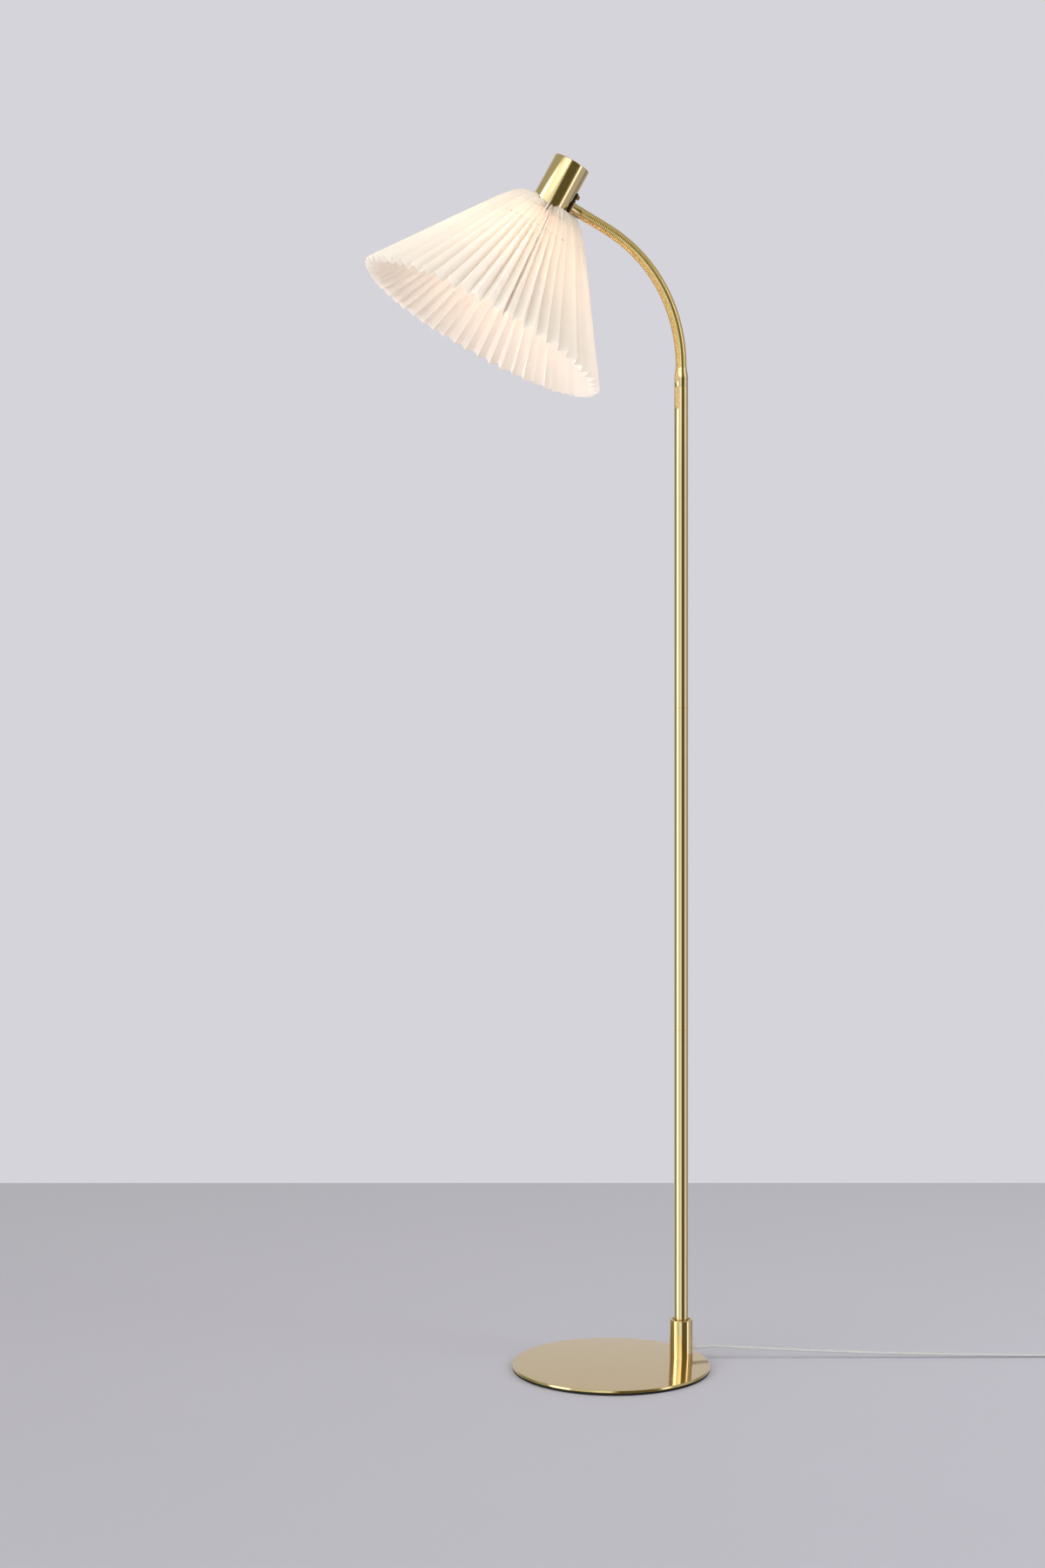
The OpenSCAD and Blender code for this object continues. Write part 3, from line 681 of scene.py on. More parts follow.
class LAMP_OT_cord(bpy.types.Operator):
    """Makes the flat clear cord with its strain relief, coil tie and plug"""

    bl_idname = "lamp.cord"
    bl_label = "Cord"

    # In mm: radius of the cores and their distance from the middle of the cord, distance of
    # each pin from the middle of the plug, and length of the plug's grip
    core_radius, core_offset = 0.8, 1.3
    pin_offset = 9.3
    grip_length = 36

    def execute(self, context):
        line = cord_line()
        outline = twin_outline(CORD_WIDTH * MM, CORD_THICKNESS * MM)
        sheath = piece(
            "cord_sheath", swept(line, outline), "base", "Milky PVC",
            ("supply_cord", "cord_coil", "cord_tail"),
        )
        cores = piece("cord_cores", self.cores(line), "base", "Tinned copper")
        tie = piece(
            "cord_tie", self.tie(), "base", "Black plastic", ("coil_tie",)
        )
        piece("cord_relief", self.relief(), "base", "Milky PVC", ("cord_gland",))
        plug = piece(
            "plug_moulding", self.plug(), "base", "White plastic",
            ("plug_body", "plug_relief"),
        )
        pin = rounded([(0, 9, 0), (2, 9, 0), (2, 19, 1.6), (0, 19, 0)])
        pins = piece(
            "plug_pins", self.on_pins(pin), "base", "Bare brass",
            ("plug_pin_left", "plug_pin_right"),
        )
        sleeve = [(0, -1), (1.95, -1), (1.95, 9.2), (0, 9.2)]
        sleeves = piece(
            "plug_pin_sleeves", self.on_pins(sleeve), "base", "Black plastic"
        )
        length = sum((b - a).length for a, b in zip(line, line[1:]))
        self.report({"INFO"}, f"cord {length:.3f} m")
        return {"FINISHED"}

    def cores(self, line):
        """The two conductors, which show through the sheath."""
        ring = [(self.core_radius * c * MM, self.core_radius * s * MM) for c, s in circle(10, 0)]
        offsets = (-self.core_offset * MM, self.core_offset * MM)
        return joined([swept(line, [(x + off, y) for x, y in ring]) for off in offsets])

    def relief(self):
        """Collar in the sleeve's wall and a flat taper with flex slots."""
        # Distance from the pole's axis, half width and half height of each section
        collar, taper, tip = 10.6, 15.2, 36
        stations = [(collar, 3.6, 2.0), (taper, 3.6, 2.0)]
        slots, slot_width, slot_depth = 10, 0.9, 0.35
        for k in range(slots + 1):
            t = k / slots
            x = taper + (tip - taper) * t
            pinch = slot_depth if k % 2 else 0
            wide, high = 3.5 - 0.1 * t - pinch, 2.0 - 0.3 * t - pinch * 0.6
            stations.append((x, wide, high))
            if 0 < k < slots:
                stations.append((x + slot_width, wide, high))
        axis = POLE_AXIS + Vector((0, 0, CORD_EXIT[2] * MM))
        # Box of half size 1 with well rounded corners
        box = [(c, s, (abs(c) ** 5 + abs(s) ** 5) ** (-1 / 5)) for c, s in circle(20)]
        rings = [
            [axis + Vector((x, wide * c * reach, high * s * reach)) * MM for c, s, reach in box]
            for x, wide, high in stations
        ]
        return mesh_of(skinned(rings))

    def tie(self):
        """Twisted strap round the coil, a thin flat band."""
        # Distance from the coil's centre and height of the strap's corners
        under = [(20.5, 0.8), (20.9, 0.5), (44.9, 0.5), (45.1, 0.8)]
        over = [(45.1, 7.2), (44.6, 7.7), (21.4, 7.7), (20.5, 7.0)]
        # The strap covers the coil between these directions
        first, last, steps = 131, 143, 6
        turns = [first + (last - first) * k / steps for k in range(steps + 1)]
        work = skinned([[on_coil(r, a, z) * MM for r, z in under + over] for a in turns])
        soften(work, sharp_edges(work), 0.15, 2)
        return mesh_of(work)

    def plug(self):
        """Flat two-pin plug: a waisted grip with rounded edges and a ribbed neck."""
        # Half width of the grip at each distance behind the face that the pins stand on
        half = [(17.6, 0), (17.6, -9), (9, -30), (6, -self.grip_length)]
        outline = half + [(-x, y) for x, y in reversed(half)]
        faces = (-PLUG_HALF_HEIGHT, PLUG_HALF_HEIGHT)
        work = skinned([[Vector((x, y, z)) * MM for x, y in outline] for z in faces])
        upright = [e for e in work.edges if abs(e.verts[0].co.z - e.verts[1].co.z) > 5 * MM]
        soften(work, upright, 2.5, 5)
        soften(work, sharp_edges(work), 1.6, 4)
        work.transform(Matrix.Translation(PLUG_AT))
        ribs, pitch, depth, widest, narrowest, neck_length = 9, 1.8, 0.5, 4.6, 3.2, 16
        neck = [(0, 1)]
        for k in range(ribs):
            y = -pitch * k
            r = widest + (narrowest - widest) * k / (ribs - 1)
            neck += [(r, y), (r, y - 1.0), (r - depth, y - 1.05), (r - depth, y - 1.75)]
        neck = [(r, max(y, -neck_length)) for r, y in neck] + [(0, -neck_length)]
        end = Matrix.Translation(PLUG_AT + Vector((0, -self.grip_length * MM, 0)))
        place = end @ rotation(-90, "X") @ rotation(180, "Z")
        return joined([mesh_of(work), turned(neck, place, 32)])

    def on_pins(self, outline):
        """This outline turned round each of the plug's two pins."""
        places = [
            Matrix.Translation(PLUG_AT + Vector((side * self.pin_offset * MM, 0, 0)))
            @ rotation(-90, "X")
            for side in (-1, 1)
        ]
        return joined([turned(outline, place, 32) for place in places])


# ---------------------------------------------------------------- base and pole


class LAMP_OT_base(bpy.types.Operator):
    """Makes the round brass base with its pad and gives the sleeve's parts their finish"""

    bl_idname = "lamp.base"
    bl_label = "Base"

    def execute(self, context):
        radius = (PLATE_HIGH.x - PLATE_LOW.x) / 2 / MM
        top, under = PLATE_HIGH.z / MM, PLATE_LOW.z / MM
        disc = rounded([(0, top, 0), (radius, top, 0.7), (radius, under, 1.9), (0, under, 0)], 8)
        piece(
            "base_disc", turned(disc, HERE, 256), "base", "Brass-plated steel",
            ("base_plate",),
        )
        inset = radius - 0.6
        pad = rounded([(0, under, 0), (inset, under, 0.3), (inset, 0, 0.5), (0, 0, 0)])
        piece(
            "base_foam_pad", turned(pad, HERE, 256), "base", "Black rubber",
            ("base_pad",),
        )
        paint("Polished brass", "base_sleeve")
        paint("Bare brass", "sleeve_plug", "sleeve_bush")
        paint("Zinc steel", "foot_nipple", "foot_washer", "foot_nut", "sleeve_screw")
        paint("White plastic", "inlet_lead")
        return {"FINISHED"}


class LAMP_OT_pole(bpy.types.Operator):
    """Makes the pole's rounded cap and gives its three tube sections their finish"""

    bl_idname = "lamp.pole"
    bl_label = "Pole"

    def execute(self, context):
        paint("Polished brass", "pole_lower", "pole_middle", "pole_upper")
        paint("Zinc steel", "joiner_lower", "joiner_upper")
        paint("White plastic", "pole_lead")
        bore, top = 3.2, (CAP_TOP - POLE_TOP) / MM
        foot = [(bore, 0), (8.15, 0), (8.4, 0.3), (8.4, 11), (8.38, 12), (8.3, 13.6)]
        shoulder = [(8.1, 15.3), (7.8, 17), (7.45, 18.7), (7.15, 20.3), (7.02, 21.2)]
        rim = [(6.95, 21.8), (6.9, top - 0.2), (6.7, top), (bore, top)]
        place = Matrix.Translation(POLE_AXIS) @ raised(POLE_TOP)
        cap = turned(foot + shoulder + rim, place, 96, closed=True)
        piece("pole_top_cap", cap, "pole", "Polished brass", ("pole_cap",))
        return {"FINISHED"}


# ---------------------------------------------------------------- arm


def arm_tree():
    """Ribbed tube along a bend: a grid is rolled round the curve and pressed in between its
    ribs, which run round it as one screw thread."""
    tree, given = new_tree(
        "Ribbed arm",
        Vector=("Start", "Bend", "End", "Side"),
        Float=("Radius", "Rib Depth"),
        Int=("Ribs", "Rows", "Sides"),
    )
    grid, along, around = unit_grid(tree, given["Rows"], given["Sides"])
    bend = {"Start": given["Start"], "Middle": given["Bend"], "End": given["End"]}
    curve = add(tree, "GeometryNodeCurveQuadraticBezier", {"Resolution": 48, **bend})
    sample = add(tree, SAMPLE, {"Curves": curve, "Factor": along}, mode="FACTOR").outputs
    above = add(tree, VECTOR + "CROSS_PRODUCT", [sample["Tangent"], given["Side"]])
    turn = add(tree, MATH + "MULTIPLY", [around, 2 * math.pi])
    cosine = add(tree, MATH + "COSINE", [turn])
    sine = add(tree, MATH + "SINE", [turn])
    sideways = add(tree, VECTOR + "SCALE", {0: given["Side"], "Scale": cosine})
    upwards = add(tree, VECTOR + "SCALE", {0: above, "Scale": sine})
    outwards = add(tree, VECTOR + "ADD", [sideways, upwards])
    turns = add(tree, MATH + "MULTIPLY_ADD", [along, given["Ribs"], around])
    thread = add(tree, MATH + "FRACT", [turns])
    centred = add(tree, MATH + "MULTIPLY_ADD", [thread, 2, -1])
    from_crest = add(tree, MATH + "ABSOLUTE", [centred])
    # A high power keeps each rib's face flat and its groove narrow
    steep = add(tree, MATH + "POWER", [from_crest, 9])
    groove = add(tree, MATH + "MULTIPLY", [steep, given["Rib Depth"]])
    reach = add(tree, MATH + "SUBTRACT", [given["Radius"], groove])
    spoke = add(tree, VECTOR + "SCALE", {0: outwards, "Scale": reach})
    place = add(tree, VECTOR + "ADD", [sample["Position"], spoke])
    tree_end(tree, laid(tree, grid, place, 1e-6), given)
    return tree


def on_arm(i, along):
    """Point this far along link i of the arm."""
    return link_matrix(i) @ Vector((0, 0, along))


class LAMP_OT_arm(bpy.types.Operator):
    """Makes the bendable ribbed arm, one stretch across each of its nine bends"""

    bl_idname = "lamp.arm"
    bl_label = "Arm"

    rows_to_a_rib, sides = 12, 40
    # A distance from a bend's hinge that nothing reads: each stretch bends all along, from the
    # middle of one link to the middle of the next
    give = 9 * MM

    def execute(self, context):
        sizes = context.scene.lamp_sizes
        tree = arm_tree()
        side = link_matrix(0).to_3x3() @ Vector((0, 1, 0))
        for k in range(1, LAST_LINK + 1):
            first, last = k == 1, k == LAST_LINK
            start = on_arm(0, 0) if first else on_arm(k - 1, LINK_LENGTHS[k - 1] / 2)
            end = on_arm(k, LINK_LENGTHS[k] if last else LINK_LENGTHS[k] / 2)
            hinge = on_arm(k, 0)
            length = (hinge - start).length + (end - hinge).length
            ribs = round(length / sizes.rib_pitch)
            given = {
                "Start": start,
                "Bend": hinge,
                "End": end,
                "Side": side,
                "Radius": HOSE_RADIUS,
                "Rib Depth": sizes.rib_depth,
                "Ribs": ribs,
                "Rows": ribs * self.rows_to_a_rib,
                "Sides": self.sides,
                "Material": finish("Rolled brass"),
            }
            name = f"arm_stretch_{k}"
            stretch = piece(name, grown(tree, given), None, "Rolled brass", sharp=180)
            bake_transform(stretch)
            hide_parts(*(("hose_1", "hose_2") if first else (f"hose_{k + 1}",)))
        return {"FINISHED"}


# ---------------------------------------------------------------- head


def towards_arm(drop):
    """Frame of a part that points from the head's axis to the arm, this far below its top."""
    return HEAD @ raised(-drop) @ rotation(-90, "Y")


class LAMP_OT_head(bpy.types.Operator):
    """Makes the brass lamp housing, the arm's end sleeve and flange and the push button"""

    bl_idname = "lamp.head"
    bl_label = "Head"

    def execute(self, context):
        radius, length, wall = HOUSING_RADIUS / MM, HOUSING_LENGTH / MM, 1.2
        outside = [(0, 0, 0), (radius, 0, 0.9), (radius, -length, 0.3)]
        inner = radius - wall
        inside = [(inner, -length, 0.3), (inner, -wall, 0.4), (0, -wall, 0)]
        shell = rounded(outside + inside, 6)
        # The sleeve and the flange are rings round the nipple that holds the arm
        bore, tube, flange_t = 5, FERRULE_LENGTH / MM, FLANGE_THICKNESS / MM
        lip = [(bore, 0, 0), (6.85, 0, 0.3), (6.85, 0.7, 0), (7, 0.9, 0.1)]
        sleeve = rounded([*lip, (7, tube, 0.2), (bore, tube, 0)], 4)
        flange = [(bore, 0, 0), (9.5, 0, 0.35), (9.5, flange_t, 0.35), (bore, flange_t, 0)]
        end = link_matrix(LAST_LINK) @ raised(LINK_LENGTHS[-1])
        flange_place = end @ raised(FERRULE_LENGTH)
        for name, mesh, node in (
            ("head_housing", turned(shell, HEAD, 192), "housing_shell"),
            ("arm_end_sleeve", turned(sleeve, end, 96, True), "arm_ferrule"),
            ("arm_flange", turned(rounded(flange, 4), flange_place, 96, True), "arm_washer"),
        ):
            piece(name, mesh, "head", "Polished brass", (node,))
        foot, top = 20.8, (HOUSING_RADIUS + SADDLE_THICKNESS) / MM + 3.2
        button = rounded([(0, foot, 0), (2.8, foot, 0), (2.8, top, 1.5), (0, top, 0)], 8)
        piece(
            "button_dome", turned(button, towards_arm(SWITCH_DROP), 48), "button",
            # The button's darker brass is painted shade for its dark reflection
            "Aged brass", ("switch_button",),
        )
        paint("Black plastic", "saddle_pad", "switch_body")
        paint("Black plastic", "holder_cap", "holder_body", "holder_ring")
        paint("Zinc steel", "arm_nipple", "arm_nut", "holder_stud", "shade_carrier", "bulb_cap")
        paint("Bare brass", "holder_thread", "holder_contact")
        return {"FINISHED"}


# ---------------------------------------------------------------- shade

# Control points of a fold line, from the neck outwards and down
FOLD_PARTS = ("Neck", "Crown", "Shoulder", "Rim")


def shade_tree():
    """Pleated cone: a grid is folded to and fro between a ridge line and a valley line that
    are carried round the axis, each fold a little out of its place, as folds set by hand are.
    One narrow pleat is where the two ends of the film are glued, and the rim leans."""
    points = [f"{kind} {part}" for kind in ("Ridge", "Valley") for part in FOLD_PARTS]
    tree, given = new_tree(
        "Pleated cone",
        Int=("Pleats", "Strips", "Rows", "Seed"),
        Vector=(*points, "Lean Pivot"),
        Float=(
            "Lean", "Neck Drop", "Ridge Tip", "Valley Tip",
            "Unevenness", "Bow", "Seam Angle", "Seam Width",
        ),
    )
    folds = add(tree, MATH + "MULTIPLY", [given["Pleats"], 2])
    across = add(tree, MATH + "MULTIPLY", [folds, given["Strips"]])
    grid, share, row = unit_grid(tree, across, given["Rows"])
    fold = add(tree, MATH + "MULTIPLY", [share, folds])
    # Rows lie closer together at the neck, where the film is curled over
    down = add(tree, MATH + "POWER", [row, 1.5])
    up = add(tree, MATH + "SUBTRACT", [1, down])
    crowded = add(tree, MATH + "POWER", [up, 5])
    at_tip = add(tree, MATH + "POWER", [up, 36])
    # The folds are held at the rim and stray most at the neck
    loose = add(tree, MATH + "MULTIPLY_ADD", [crowded, 0.75, 0.25])
    half = add(tree, MATH + "MULTIPLY", [fold, 0.5])
    nearest = add(tree, MATH + "ROUND", [half])
    ridge_number = add(tree, MATH + "MULTIPLY", [nearest, 2])
    floor = add(tree, MATH + "FLOOR", [half])
    valley_number = add(tree, MATH + "MULTIPLY_ADD", [floor, 2, 1])
    missing = add(tree, MATH + "SUBTRACT", [1, given["Seam Width"]])
    whole = add(tree, MATH + "SUBTRACT", [given["Pleats"], missing])
    pitch = add(tree, MATH + "DIVIDE", [math.pi, whole])

    def fold_line(number, name, flat_reach):
        """Point of one fold line at each height, with that fold's own stray. The lean takes
        hold where the line is farther out than flat_reach."""
        handles = ("Start", "Start Handle", "End Handle", "End")
        ends = {key: given[f"{name} {part}"] for key, part in zip(handles, FOLD_PARTS)}
        curve = add(tree, BEZIER, {"Resolution": 96, **ends}, mode="POSITION")
        sample = add(tree, SAMPLE, {"Curves": curve, "Factor": down}, mode="FACTOR").outputs
        line = add(tree, SEPARATE, {"Vector": sample["Position"]}).outputs
        rim = add(tree, SEPARATE, {"Vector": given[name + " Rim"]}).outputs
        fold_id = add(tree, MATH + "MODULO", [number, folds])
        seeded = {**SPREAD, "ID": fold_id, "Seed": given["Seed"]}
        random = add(tree, RANDOM, seeded, data_type="FLOAT_VECTOR")
        amount = add(tree, MATH + "MULTIPLY", [loose, given["Unevenness"]])
        stray = add(tree, VECTOR + "SCALE", {0: random, "Scale": amount})
        # Fold steps sideways, and how far out and up, at full unevenness
        stray = add(tree, VECTOR + "MULTIPLY", [stray, (1.6, 2 * MM, 8 * MM)])
        stray = add(tree, SEPARATE, {"Vector": stray}).outputs
        # The first pleat is the narrow one: its valley gives up one share, the rest two
        past_seam = add(tree, MATH + "GREATER_THAN", [number, 1.5])
        in_seam = add(tree, MATH + "GREATER_THAN", [number, 0.5])
        shares = add(tree, MATH + "ADD", [past_seam, in_seam])
        given_up = add(tree, MATH + "MULTIPLY", [shares, missing])
        steps = add(tree, MATH + "SUBTRACT", [number, given_up])
        steps = add(tree, MATH + "ADD", [steps, stray["X"]])
        angle = add(tree, MATH + "MULTIPLY_ADD", [steps, pitch, given["Seam Angle"]])
        cosine = add(tree, MATH + "COSINE", [angle])
        sine = add(tree, MATH + "SINE", [angle])
        spoke = add(tree, COMBINE, {"X": cosine, "Y": sine})

        def on_spoke(reach, height):
            """Point this far out from the axis on the fold's side, at this height."""
            out = add(tree, VECTOR + "SCALE", {0: spoke, "Scale": reach})
            return add(tree, VECTOR + "ADD", [out, add(tree, COMBINE, {"Z": height})])

        reach = add(tree, MATH + "ADD", [line["X"], stray["Y"]])
        height = add(tree, MATH + "ADD", [line["Z"], stray["Z"]])
        # The neck hangs lower on the seam's side
        sunk = add(tree, MATH + "MULTIPLY", [sine, crowded])
        sunk = add(tree, MATH + "MULTIPLY", [sunk, given["Neck Drop"]])
        height = add(tree, MATH + "SUBTRACT", [height, sunk])
        # Right at the neck the fold's end is bent up along the housing
        height = add(tree, MATH + "MULTIPLY_ADD", [at_tip, given[name + " Tip"], height])
        rim_point = on_spoke(rim["X"], rim["Z"])
        swing = {"Vector": rim_point, "Center": given["Lean Pivot"], "Angle": given["Lean"]}
        leaned = add(tree, "ShaderNodeVectorRotate", swing, rotation_type="X_AXIS")
        carried = add(tree, VECTOR + "SUBTRACT", [leaned, rim_point])
        reached = {"Value": line["X"], "From Min": flat_reach * MM, "From Max": rim["X"]}
        hold = add(tree, MAP_RANGE, reached)
        carried = add(tree, VECTOR + "SCALE", {0: carried, "Scale": hold})
        return add(tree, VECTOR + "ADD", [on_spoke(reach, height), carried])

    inwards = add(tree, MATH + "PINGPONG", [fold, 1])
    ridge = fold_line(ridge_number, "Ridge", RIDGE_SHOULDER)
    valley = fold_line(valley_number, "Valley", VALLEY_SHOULDER)
    panel = add(tree, MIX, {"Factor": inwards, "A": ridge, "B": valley}, data_type="VECTOR")
    # Each panel bows outwards between its folds, most of all at its middle
    outwards = add(tree, MATH + "SUBTRACT", [1, inwards])
    arch = add(tree, MATH + "MULTIPLY", [inwards, outwards])
    bow = add(tree, MATH + "MULTIPLY", [given["Bow"], 4])
    arch = add(tree, MATH + "MULTIPLY", [arch, bow])
    level = add(tree, VECTOR + "MULTIPLY", [panel, (1, 1, 0)])
    away = add(tree, VECTOR + "NORMALIZE", [level])
    arched = add(tree, VECTOR + "SCALE", {0: away, "Scale": arch})
    bowed = add(tree, VECTOR + "ADD", [panel, arched])
    tree_end(tree, laid(tree, grid, bowed, 1e-5), given)
    return tree


def thread_tree():
    """Thread sewn through every pleat: a ring of short straight runs that goes a little up and
    down from one hole to the next."""
    tree, given = new_tree(
        "Sewn thread", Float=("Radius", "Slack", "Thickness"), Int=("Holes", "Seed")
    )
    holes = {"Resolution": given["Holes"], "Radius": given["Radius"]}
    ring = add(tree, CIRCLE, holes, mode="RADIUS")
    stray = add(tree, RANDOM, {**SPREAD, "Seed": given["Seed"]}, data_type="FLOAT_VECTOR")
    slack = add(tree, VECTOR + "SCALE", {0: stray, "Scale": given["Slack"]})
    moved = add(tree, "GeometryNodeSetPosition", {"Geometry": ring, "Offset": slack})
    round_wire = {"Resolution": 8, "Radius": given["Thickness"]}
    outline = add(tree, CIRCLE, round_wire, mode="RADIUS")
    tube = add(tree, "GeometryNodeCurveToMesh", {"Curve": moved, "Profile Curve": outline})
    tree_end(tree, tube, given)
    return tree


class LAMP_OT_shade(bpy.types.Operator):
    """Makes the pleated cone shade and the two threads sewn through its pleats"""

    bl_idname = "lamp.shade"
    bl_label = "Shade"

    def execute(self, context):
        sizes = context.scene.lamp_sizes
        # Radius and depth below the top of the housing of each fold line's control points
        ridge = ((24.1, 55.6), (50, 54.5), (46, 59.5), SHADE_RIM)
        valley = ((25.2, 66.8), (40, 68.5), (36, 69.5), (151.5, 231))
        given = {
            f"{kind} {part}": (r * MM, 0, -drop * MM)
            for kind, points in (("Ridge", ridge), ("Valley", valley))
            for part, (r, drop) in zip(FOLD_PARTS, points)
        }
        given |= {
            "Pleats": sizes.pleats + 1,
            "Strips": 4,
            "Rows": 48,
            "Lean": SHADE_LEAN,
            "Lean Pivot": (0, 0, -ARM_DROP),
            "Neck Drop": 5 * MM,
            "Ridge Tip": 3.5 * MM,
            "Valley Tip": 0,
            "Unevenness": sizes.unevenness,
            "Bow": 0.8 * MM,
            "Seam Angle": math.radians(93.2),
            "Seam Width": 0.42,
            "Seed": 11,
            "Material": finish("Shade film"),
        }
        cone = grown(shade_tree(), given, HEAD, sizes.film_thickness)
        replaced = ("pleated_shade",)
        piece("shade_pleats", cone, "head", "Shade film", replaced, sharp=25)
        tree = thread_tree()
        for name, radius, drop, seed in (("upper", 48.5, 69.5, 3), ("lower", 67.5, 95.5, 4)):
            given = {
                "Radius": radius * MM,
                "Holes": sizes.pleats * 2 + 1,
                "Slack": 0.35 * MM,
                "Thickness": 0.32 * MM,
                "Seed": seed,
                "Material": finish("Sewing thread"),
            }
            thread = grown(tree, given, HEAD @ self.ring_place(radius, drop))
            piece(
                f"shade_thread_{name}", thread, "head", "Sewing thread",
                (f"stitch_cord_{name}",), sharp=180,
            )
        return {"FINISHED"}

    def ring_place(self, radius, drop):
        """Where a ring of the shade lies, with its share of the rim's lean."""
        rim_r, rim_drop = SHADE_RIM
        share = max(0, (radius - RIDGE_SHOULDER) / (rim_r - RIDGE_SHOULDER))
        arm = (rim_drop * MM - ARM_DROP) * share
        sine, cosine = math.sin(SHADE_LEAN), math.cos(SHADE_LEAN)
        moved = Matrix.Translation((0, arm * sine, arm * (1 - cosine) - drop * MM))
        return moved @ Matrix.Rotation(math.atan2(share * rim_r * sine, radius), 4, "X")


class LAMP_OT_bulb(bpy.types.Operator):
    """Makes the lit opal bulb and the light that it gives"""

    bl_idname = "lamp.bulb"
    bl_label = "Bulb"

    def execute(self, context):
        sizes, finishes = context.scene.lamp_sizes, context.scene.lamp_finishes
        # Radius and centre of the globe in mm, height of its open end and its thickness
        radius, centre, cut, wall = GLOBE_RADIUS / MM, -GLOBE_DROP / MM, -112, 1.2

        def dome(r):
            """The globe's section, from its open end to its closed one."""
            first, steps = math.acos((cut - centre) / r), 28
            angles = [first + (math.pi - first) * k / steps for k in range(steps)]
            return [(r * math.sin(a), centre + r * math.cos(a)) for a in angles] + [(0, centre - r)]

        section = dome(radius - wall)[::-1] + dome(radius)
        piece(
            "bulb_diffuser", turned(section, HEAD, 96), "head", "Opal globe",
            ("bulb_globe",),
        )
        paint("White plastic", "bulb_collar")
        # The globe lights the rim from its end and the neck past its collar
        for name, drop, share in (("Bulb light end", 138, 0.55), ("Bulb light neck", 102, 0.45)):
            light = bpy.data.lights.new(name, "POINT")
            light.energy = sizes.bulb_power * share
            light.color = finishes.glow
            light.shadow_soft_size = GLOBE_RADIUS + MM
            light.use_soft_falloff = False
            lamp = bpy.data.objects.new(name, light)
            context.scene.collection.objects.link(lamp)
            lamp.location = HEAD @ Vector((0, 0, -drop * MM))
            lamp.visible_camera = False
            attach(lamp, "head")
        return {"FINISHED"}


# ---------------------------------------------------------------- stage

# What the brass mirrors: the room's brightness and tint, by degrees to the right of the camera.
# A tall window stands to the left, a dark room behind the camera and a narrow window to its right.
ROOM = (
    (-180, (0.66, 0.66, 0.70)), (-145, (0.60, 0.61, 0.60)), (-130, (0.29, 0.30, 0.22)),
    (-104, (0.30, 0.32, 0.24)), (-98, (0.42, 0.45, 0.38)), (-80, (0.42, 0.46, 0.40)),
    (-74, (2.6, 2.7, 2.8)), (-54, (2.6, 2.7, 2.8)), (-49, (0.70, 0.80, 0.78)),
    (-26, (0.72, 0.82, 0.80)), (-18, (1.00, 1.12, 1.10)), (-3, (1.00, 1.12, 1.10)),
    (3, (0.42, 0.36, 0.22)), (8, (0.12, 0.115, 0.06)), (46, (0.13, 0.115, 0.05)),
    (56, (0.30, 0.28, 0.20)), (62, (1.60, 1.65, 1.80)), (69, (1.60, 1.65, 1.80)),
    (74, (0.53, 0.55, 0.52)), (105, (0.53, 0.55, 0.60)), (118, (0.28, 0.29, 0.26)),
    (140, (0.40, 0.41, 0.40)), (160, (0.66, 0.66, 0.70)),
)
ROOM_CEILING = (0.46, 0.47, 0.36, 1)
ROOM_FLOOR = (0.15, 0.14, 0.09, 1)


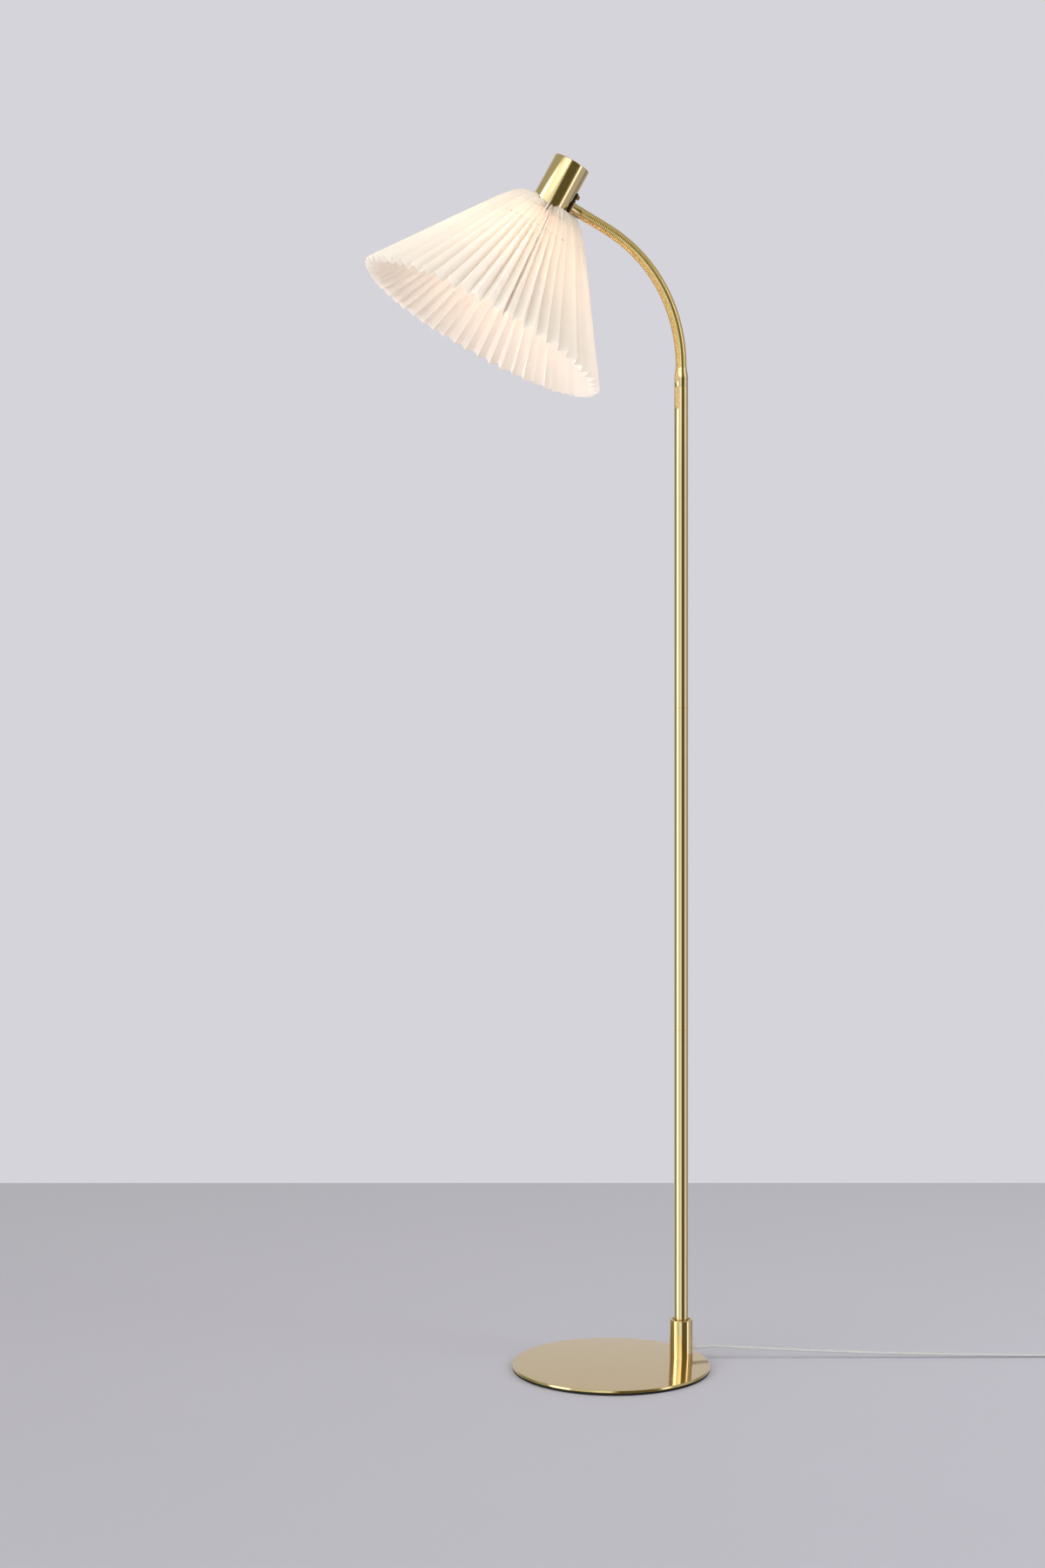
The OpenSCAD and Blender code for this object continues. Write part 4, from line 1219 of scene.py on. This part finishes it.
class LAMP_OT_stage(bpy.types.Operator):
    """Lays the plain floor and backdrop and sets the soft studio light"""

    bl_idname = "lamp.stage"
    bl_label = "Stage"

    # In metres: half the floor's width, how far the backdrop stands from the camera, half its
    # width and its height
    floor_reach = 6
    backdrop_distance, backdrop_reach, backdrop_height = 3.765, 7, 5

    def execute(self, context):
        camera = context.scene.camera
        turn = camera.rotation_euler.z
        ahead = Vector((-math.sin(turn), math.cos(turn), 0))
        right = Vector((ahead.y, -ahead.x, 0))
        reach = self.floor_reach
        corners = [(x * reach, y * reach, 0) for x, y in ((-1, -1), (1, -1), (1, 1), (-1, 1))]
        self.sheet("floor", corners, "Painted floor")
        self.backdrop(camera.location + ahead * self.backdrop_distance, right)
        # Place, height, width and length in metres, power in watts and spread in degrees
        self.light("Window softbox", right * 2.3 - ahead * 0.6, 1.9, (0.9, 1.8), 22)
        self.light("Low softbox", ahead * -2.4 - right * 1.9, 0.8, (1.4, 0.8), 4.3, 90)
        self.light("Ceiling softbox", ahead * -0.4, 3.2, (2.4, 2.4), 12)
        self.world(ahead)
        context.scene.view_settings.view_transform = "Standard"
        return {"FINISHED"}

    def sheet(self, name, corners, material):
        """A plain sheet of the stage, which the brass doesn't mirror."""
        mesh = bpy.data.meshes.new(name)
        mesh.from_pydata([tuple(c) for c in corners], [], [(0, 1, 2, 3)])
        mesh.materials.append(finish(material))
        made = bpy.data.objects.new(name, mesh)
        bpy.context.scene.collection.objects.link(made)
        made.visible_glossy = False
        return made

    def backdrop(self, centre, right):
        """Paper behind the lamp, which neither lights the object nor shades it."""
        low, aside = Vector((centre.x, centre.y, 0)), right * self.backdrop_reach
        up = Vector((0, 0, self.backdrop_height))
        corners = [low - aside, low + aside, low + aside + up, low - aside + up]
        wall = self.sheet("backdrop", corners, "Paper backdrop")
        wall.visible_diffuse = False
        wall.visible_shadow = False

    def light(self, name, place, height, size, power, spread=180):
        """A soft rectangular lamp that faces the middle of the object."""
        data = bpy.data.lights.new(name, "AREA")
        data.shape = "RECTANGLE"
        data.size, data.size_y = size
        data.energy = power
        data.spread = math.radians(spread)
        lamp = bpy.data.objects.new(name, data)
        bpy.context.scene.collection.objects.link(lamp)
        lamp.location = (place.x, place.y, height)
        towards = Vector((0, 0, 0.9)) - lamp.location
        lamp.rotation_euler = towards.to_track_quat("-Z", "Y").to_euler()
        lamp.visible_glossy = False
        lamp.visible_camera = False

    def world(self, ahead):
        """A plain pale world, and the studio's room for what the brass mirrors."""
        world = bpy.data.worlds.new("Studio")
        bpy.context.scene.world = world
        world.use_nodes = True
        tree = world.node_tree
        tree.nodes.clear()
        direction = add(tree, "ShaderNodeTexCoord").outputs["Generated"]
        turn = {"Vector": direction, "Angle": -math.atan2(-ahead.y, -ahead.x)}
        from_camera = add(tree, "ShaderNodeVectorRotate", turn, rotation_type="Z_AXIS")
        parts = add(tree, SEPARATE, {"Vector": from_camera}).outputs
        azimuth = add(tree, MATH + "ARCTAN2", [parts["Y"], parts["X"]])
        circle_share = {"Value": azimuth, "From Min": -math.pi, "From Max": math.pi}
        share = add(tree, MAP_RANGE, circle_share)
        bands = add(tree, "ShaderNodeValToRGB", {"Fac": share})
        marks = bands.color_ramp.elements
        for k, (degrees, colour) in enumerate(ROOM):
            spot = (degrees + 180) / 360
            mark = marks[k] if k < 2 else marks.new(spot)
            mark.position = spot
            mark.color = (*colour, 1)
        # The ceiling takes over from the walls above, and the floor below
        smooth = {"interpolation_type": "SMOOTHSTEP"}
        rise = {"Value": parts["Z"], "From Min": 0.5, "From Max": 0.62}
        high = add(tree, MAP_RANGE, rise, **smooth)
        fall = {"Value": parts["Z"], "From Min": -0.42, "From Max": -0.6}
        low = add(tree, MAP_RANGE, fall, **smooth)
        # The lamps above the camera brighten what lies in front of the lamp, higher up
        above = add(tree, MAP_RANGE, {"Value": parts["Z"], "From Min": 0.14, "From Max": 0.3})
        before = add(tree, MAP_RANGE, {"Value": parts["X"], "From Min": 0.2, "From Max": 0.6})
        lit = add(tree, MATH + "MULTIPLY", [above, before])
        gain = add(tree, MATH + "MULTIPLY_ADD", [lit, 0.9, 1])
        walls = add(tree, VECTOR + "SCALE", {0: bands, "Scale": gain})
        room = add(tree, MIX, {"Factor": high, "A": walls, "B": ROOM_CEILING}, data_type="RGBA")
        room = add(tree, MIX, {"Factor": low, "A": room, "B": ROOM_FLOOR}, data_type="RGBA")
        path = add(tree, "ShaderNodeLightPath").outputs
        plain = add(tree, MATH + "MAXIMUM", [path["Is Camera Ray"], path["Is Transmission Ray"]])
        colour = add(tree, MIX, {"Factor": plain, "A": room, "B": tone("wall")}, data_type="RGBA")
        light = add(tree, "ShaderNodeBackground", {"Color": colour, "Strength": 1.0})
        add(tree, "ShaderNodeOutputWorld", {"Surface": light})


# ---------------------------------------------------------------- panel and run


class LAMP_PT_parts(bpy.types.Panel):
    """Lists the lamp's pieces, finishes and sizes"""

    bl_idname = "LAMP_PT_parts"
    bl_label = "Floor reading lamp"
    bl_space_type = "VIEW_3D"
    bl_region_type = "UI"
    bl_category = "Lamp"

    def draw(self, context):
        column = self.layout.column(align=True)
        for operator in OPERATORS:
            column.operator(operator.bl_idname)
        for group in (context.scene.lamp_sizes, context.scene.lamp_finishes):
            box = self.layout.box()
            for name in group.bl_rna.properties.keys():
                if name not in ("rna_type", "name"):
                    box.prop(group, name)


OPERATORS = (
    LAMP_OT_camera,
    LAMP_OT_cord,
    LAMP_OT_base,
    LAMP_OT_pole,
    LAMP_OT_arm,
    LAMP_OT_head,
    LAMP_OT_shade,
    LAMP_OT_bulb,
    LAMP_OT_stage,
)
CLASSES = (LampFinishes, LampSizes, *OPERATORS, LAMP_PT_parts)


def register():
    for made in CLASSES:
        bpy.utils.register_class(made)
    bpy.types.Scene.lamp_finishes = bpy.props.PointerProperty(type=LampFinishes)
    bpy.types.Scene.lamp_sizes = bpy.props.PointerProperty(type=LampSizes)


def unregister():
    del bpy.types.Scene.lamp_sizes
    del bpy.types.Scene.lamp_finishes
    for made in reversed(CLASSES):
        bpy.utils.unregister_class(made)


def main():
    register()
    for operator in OPERATORS:
        part = operator.bl_idname.split(".")[1]
        getattr(bpy.ops.lamp, part)()


if __name__ == "__main__":
    main()
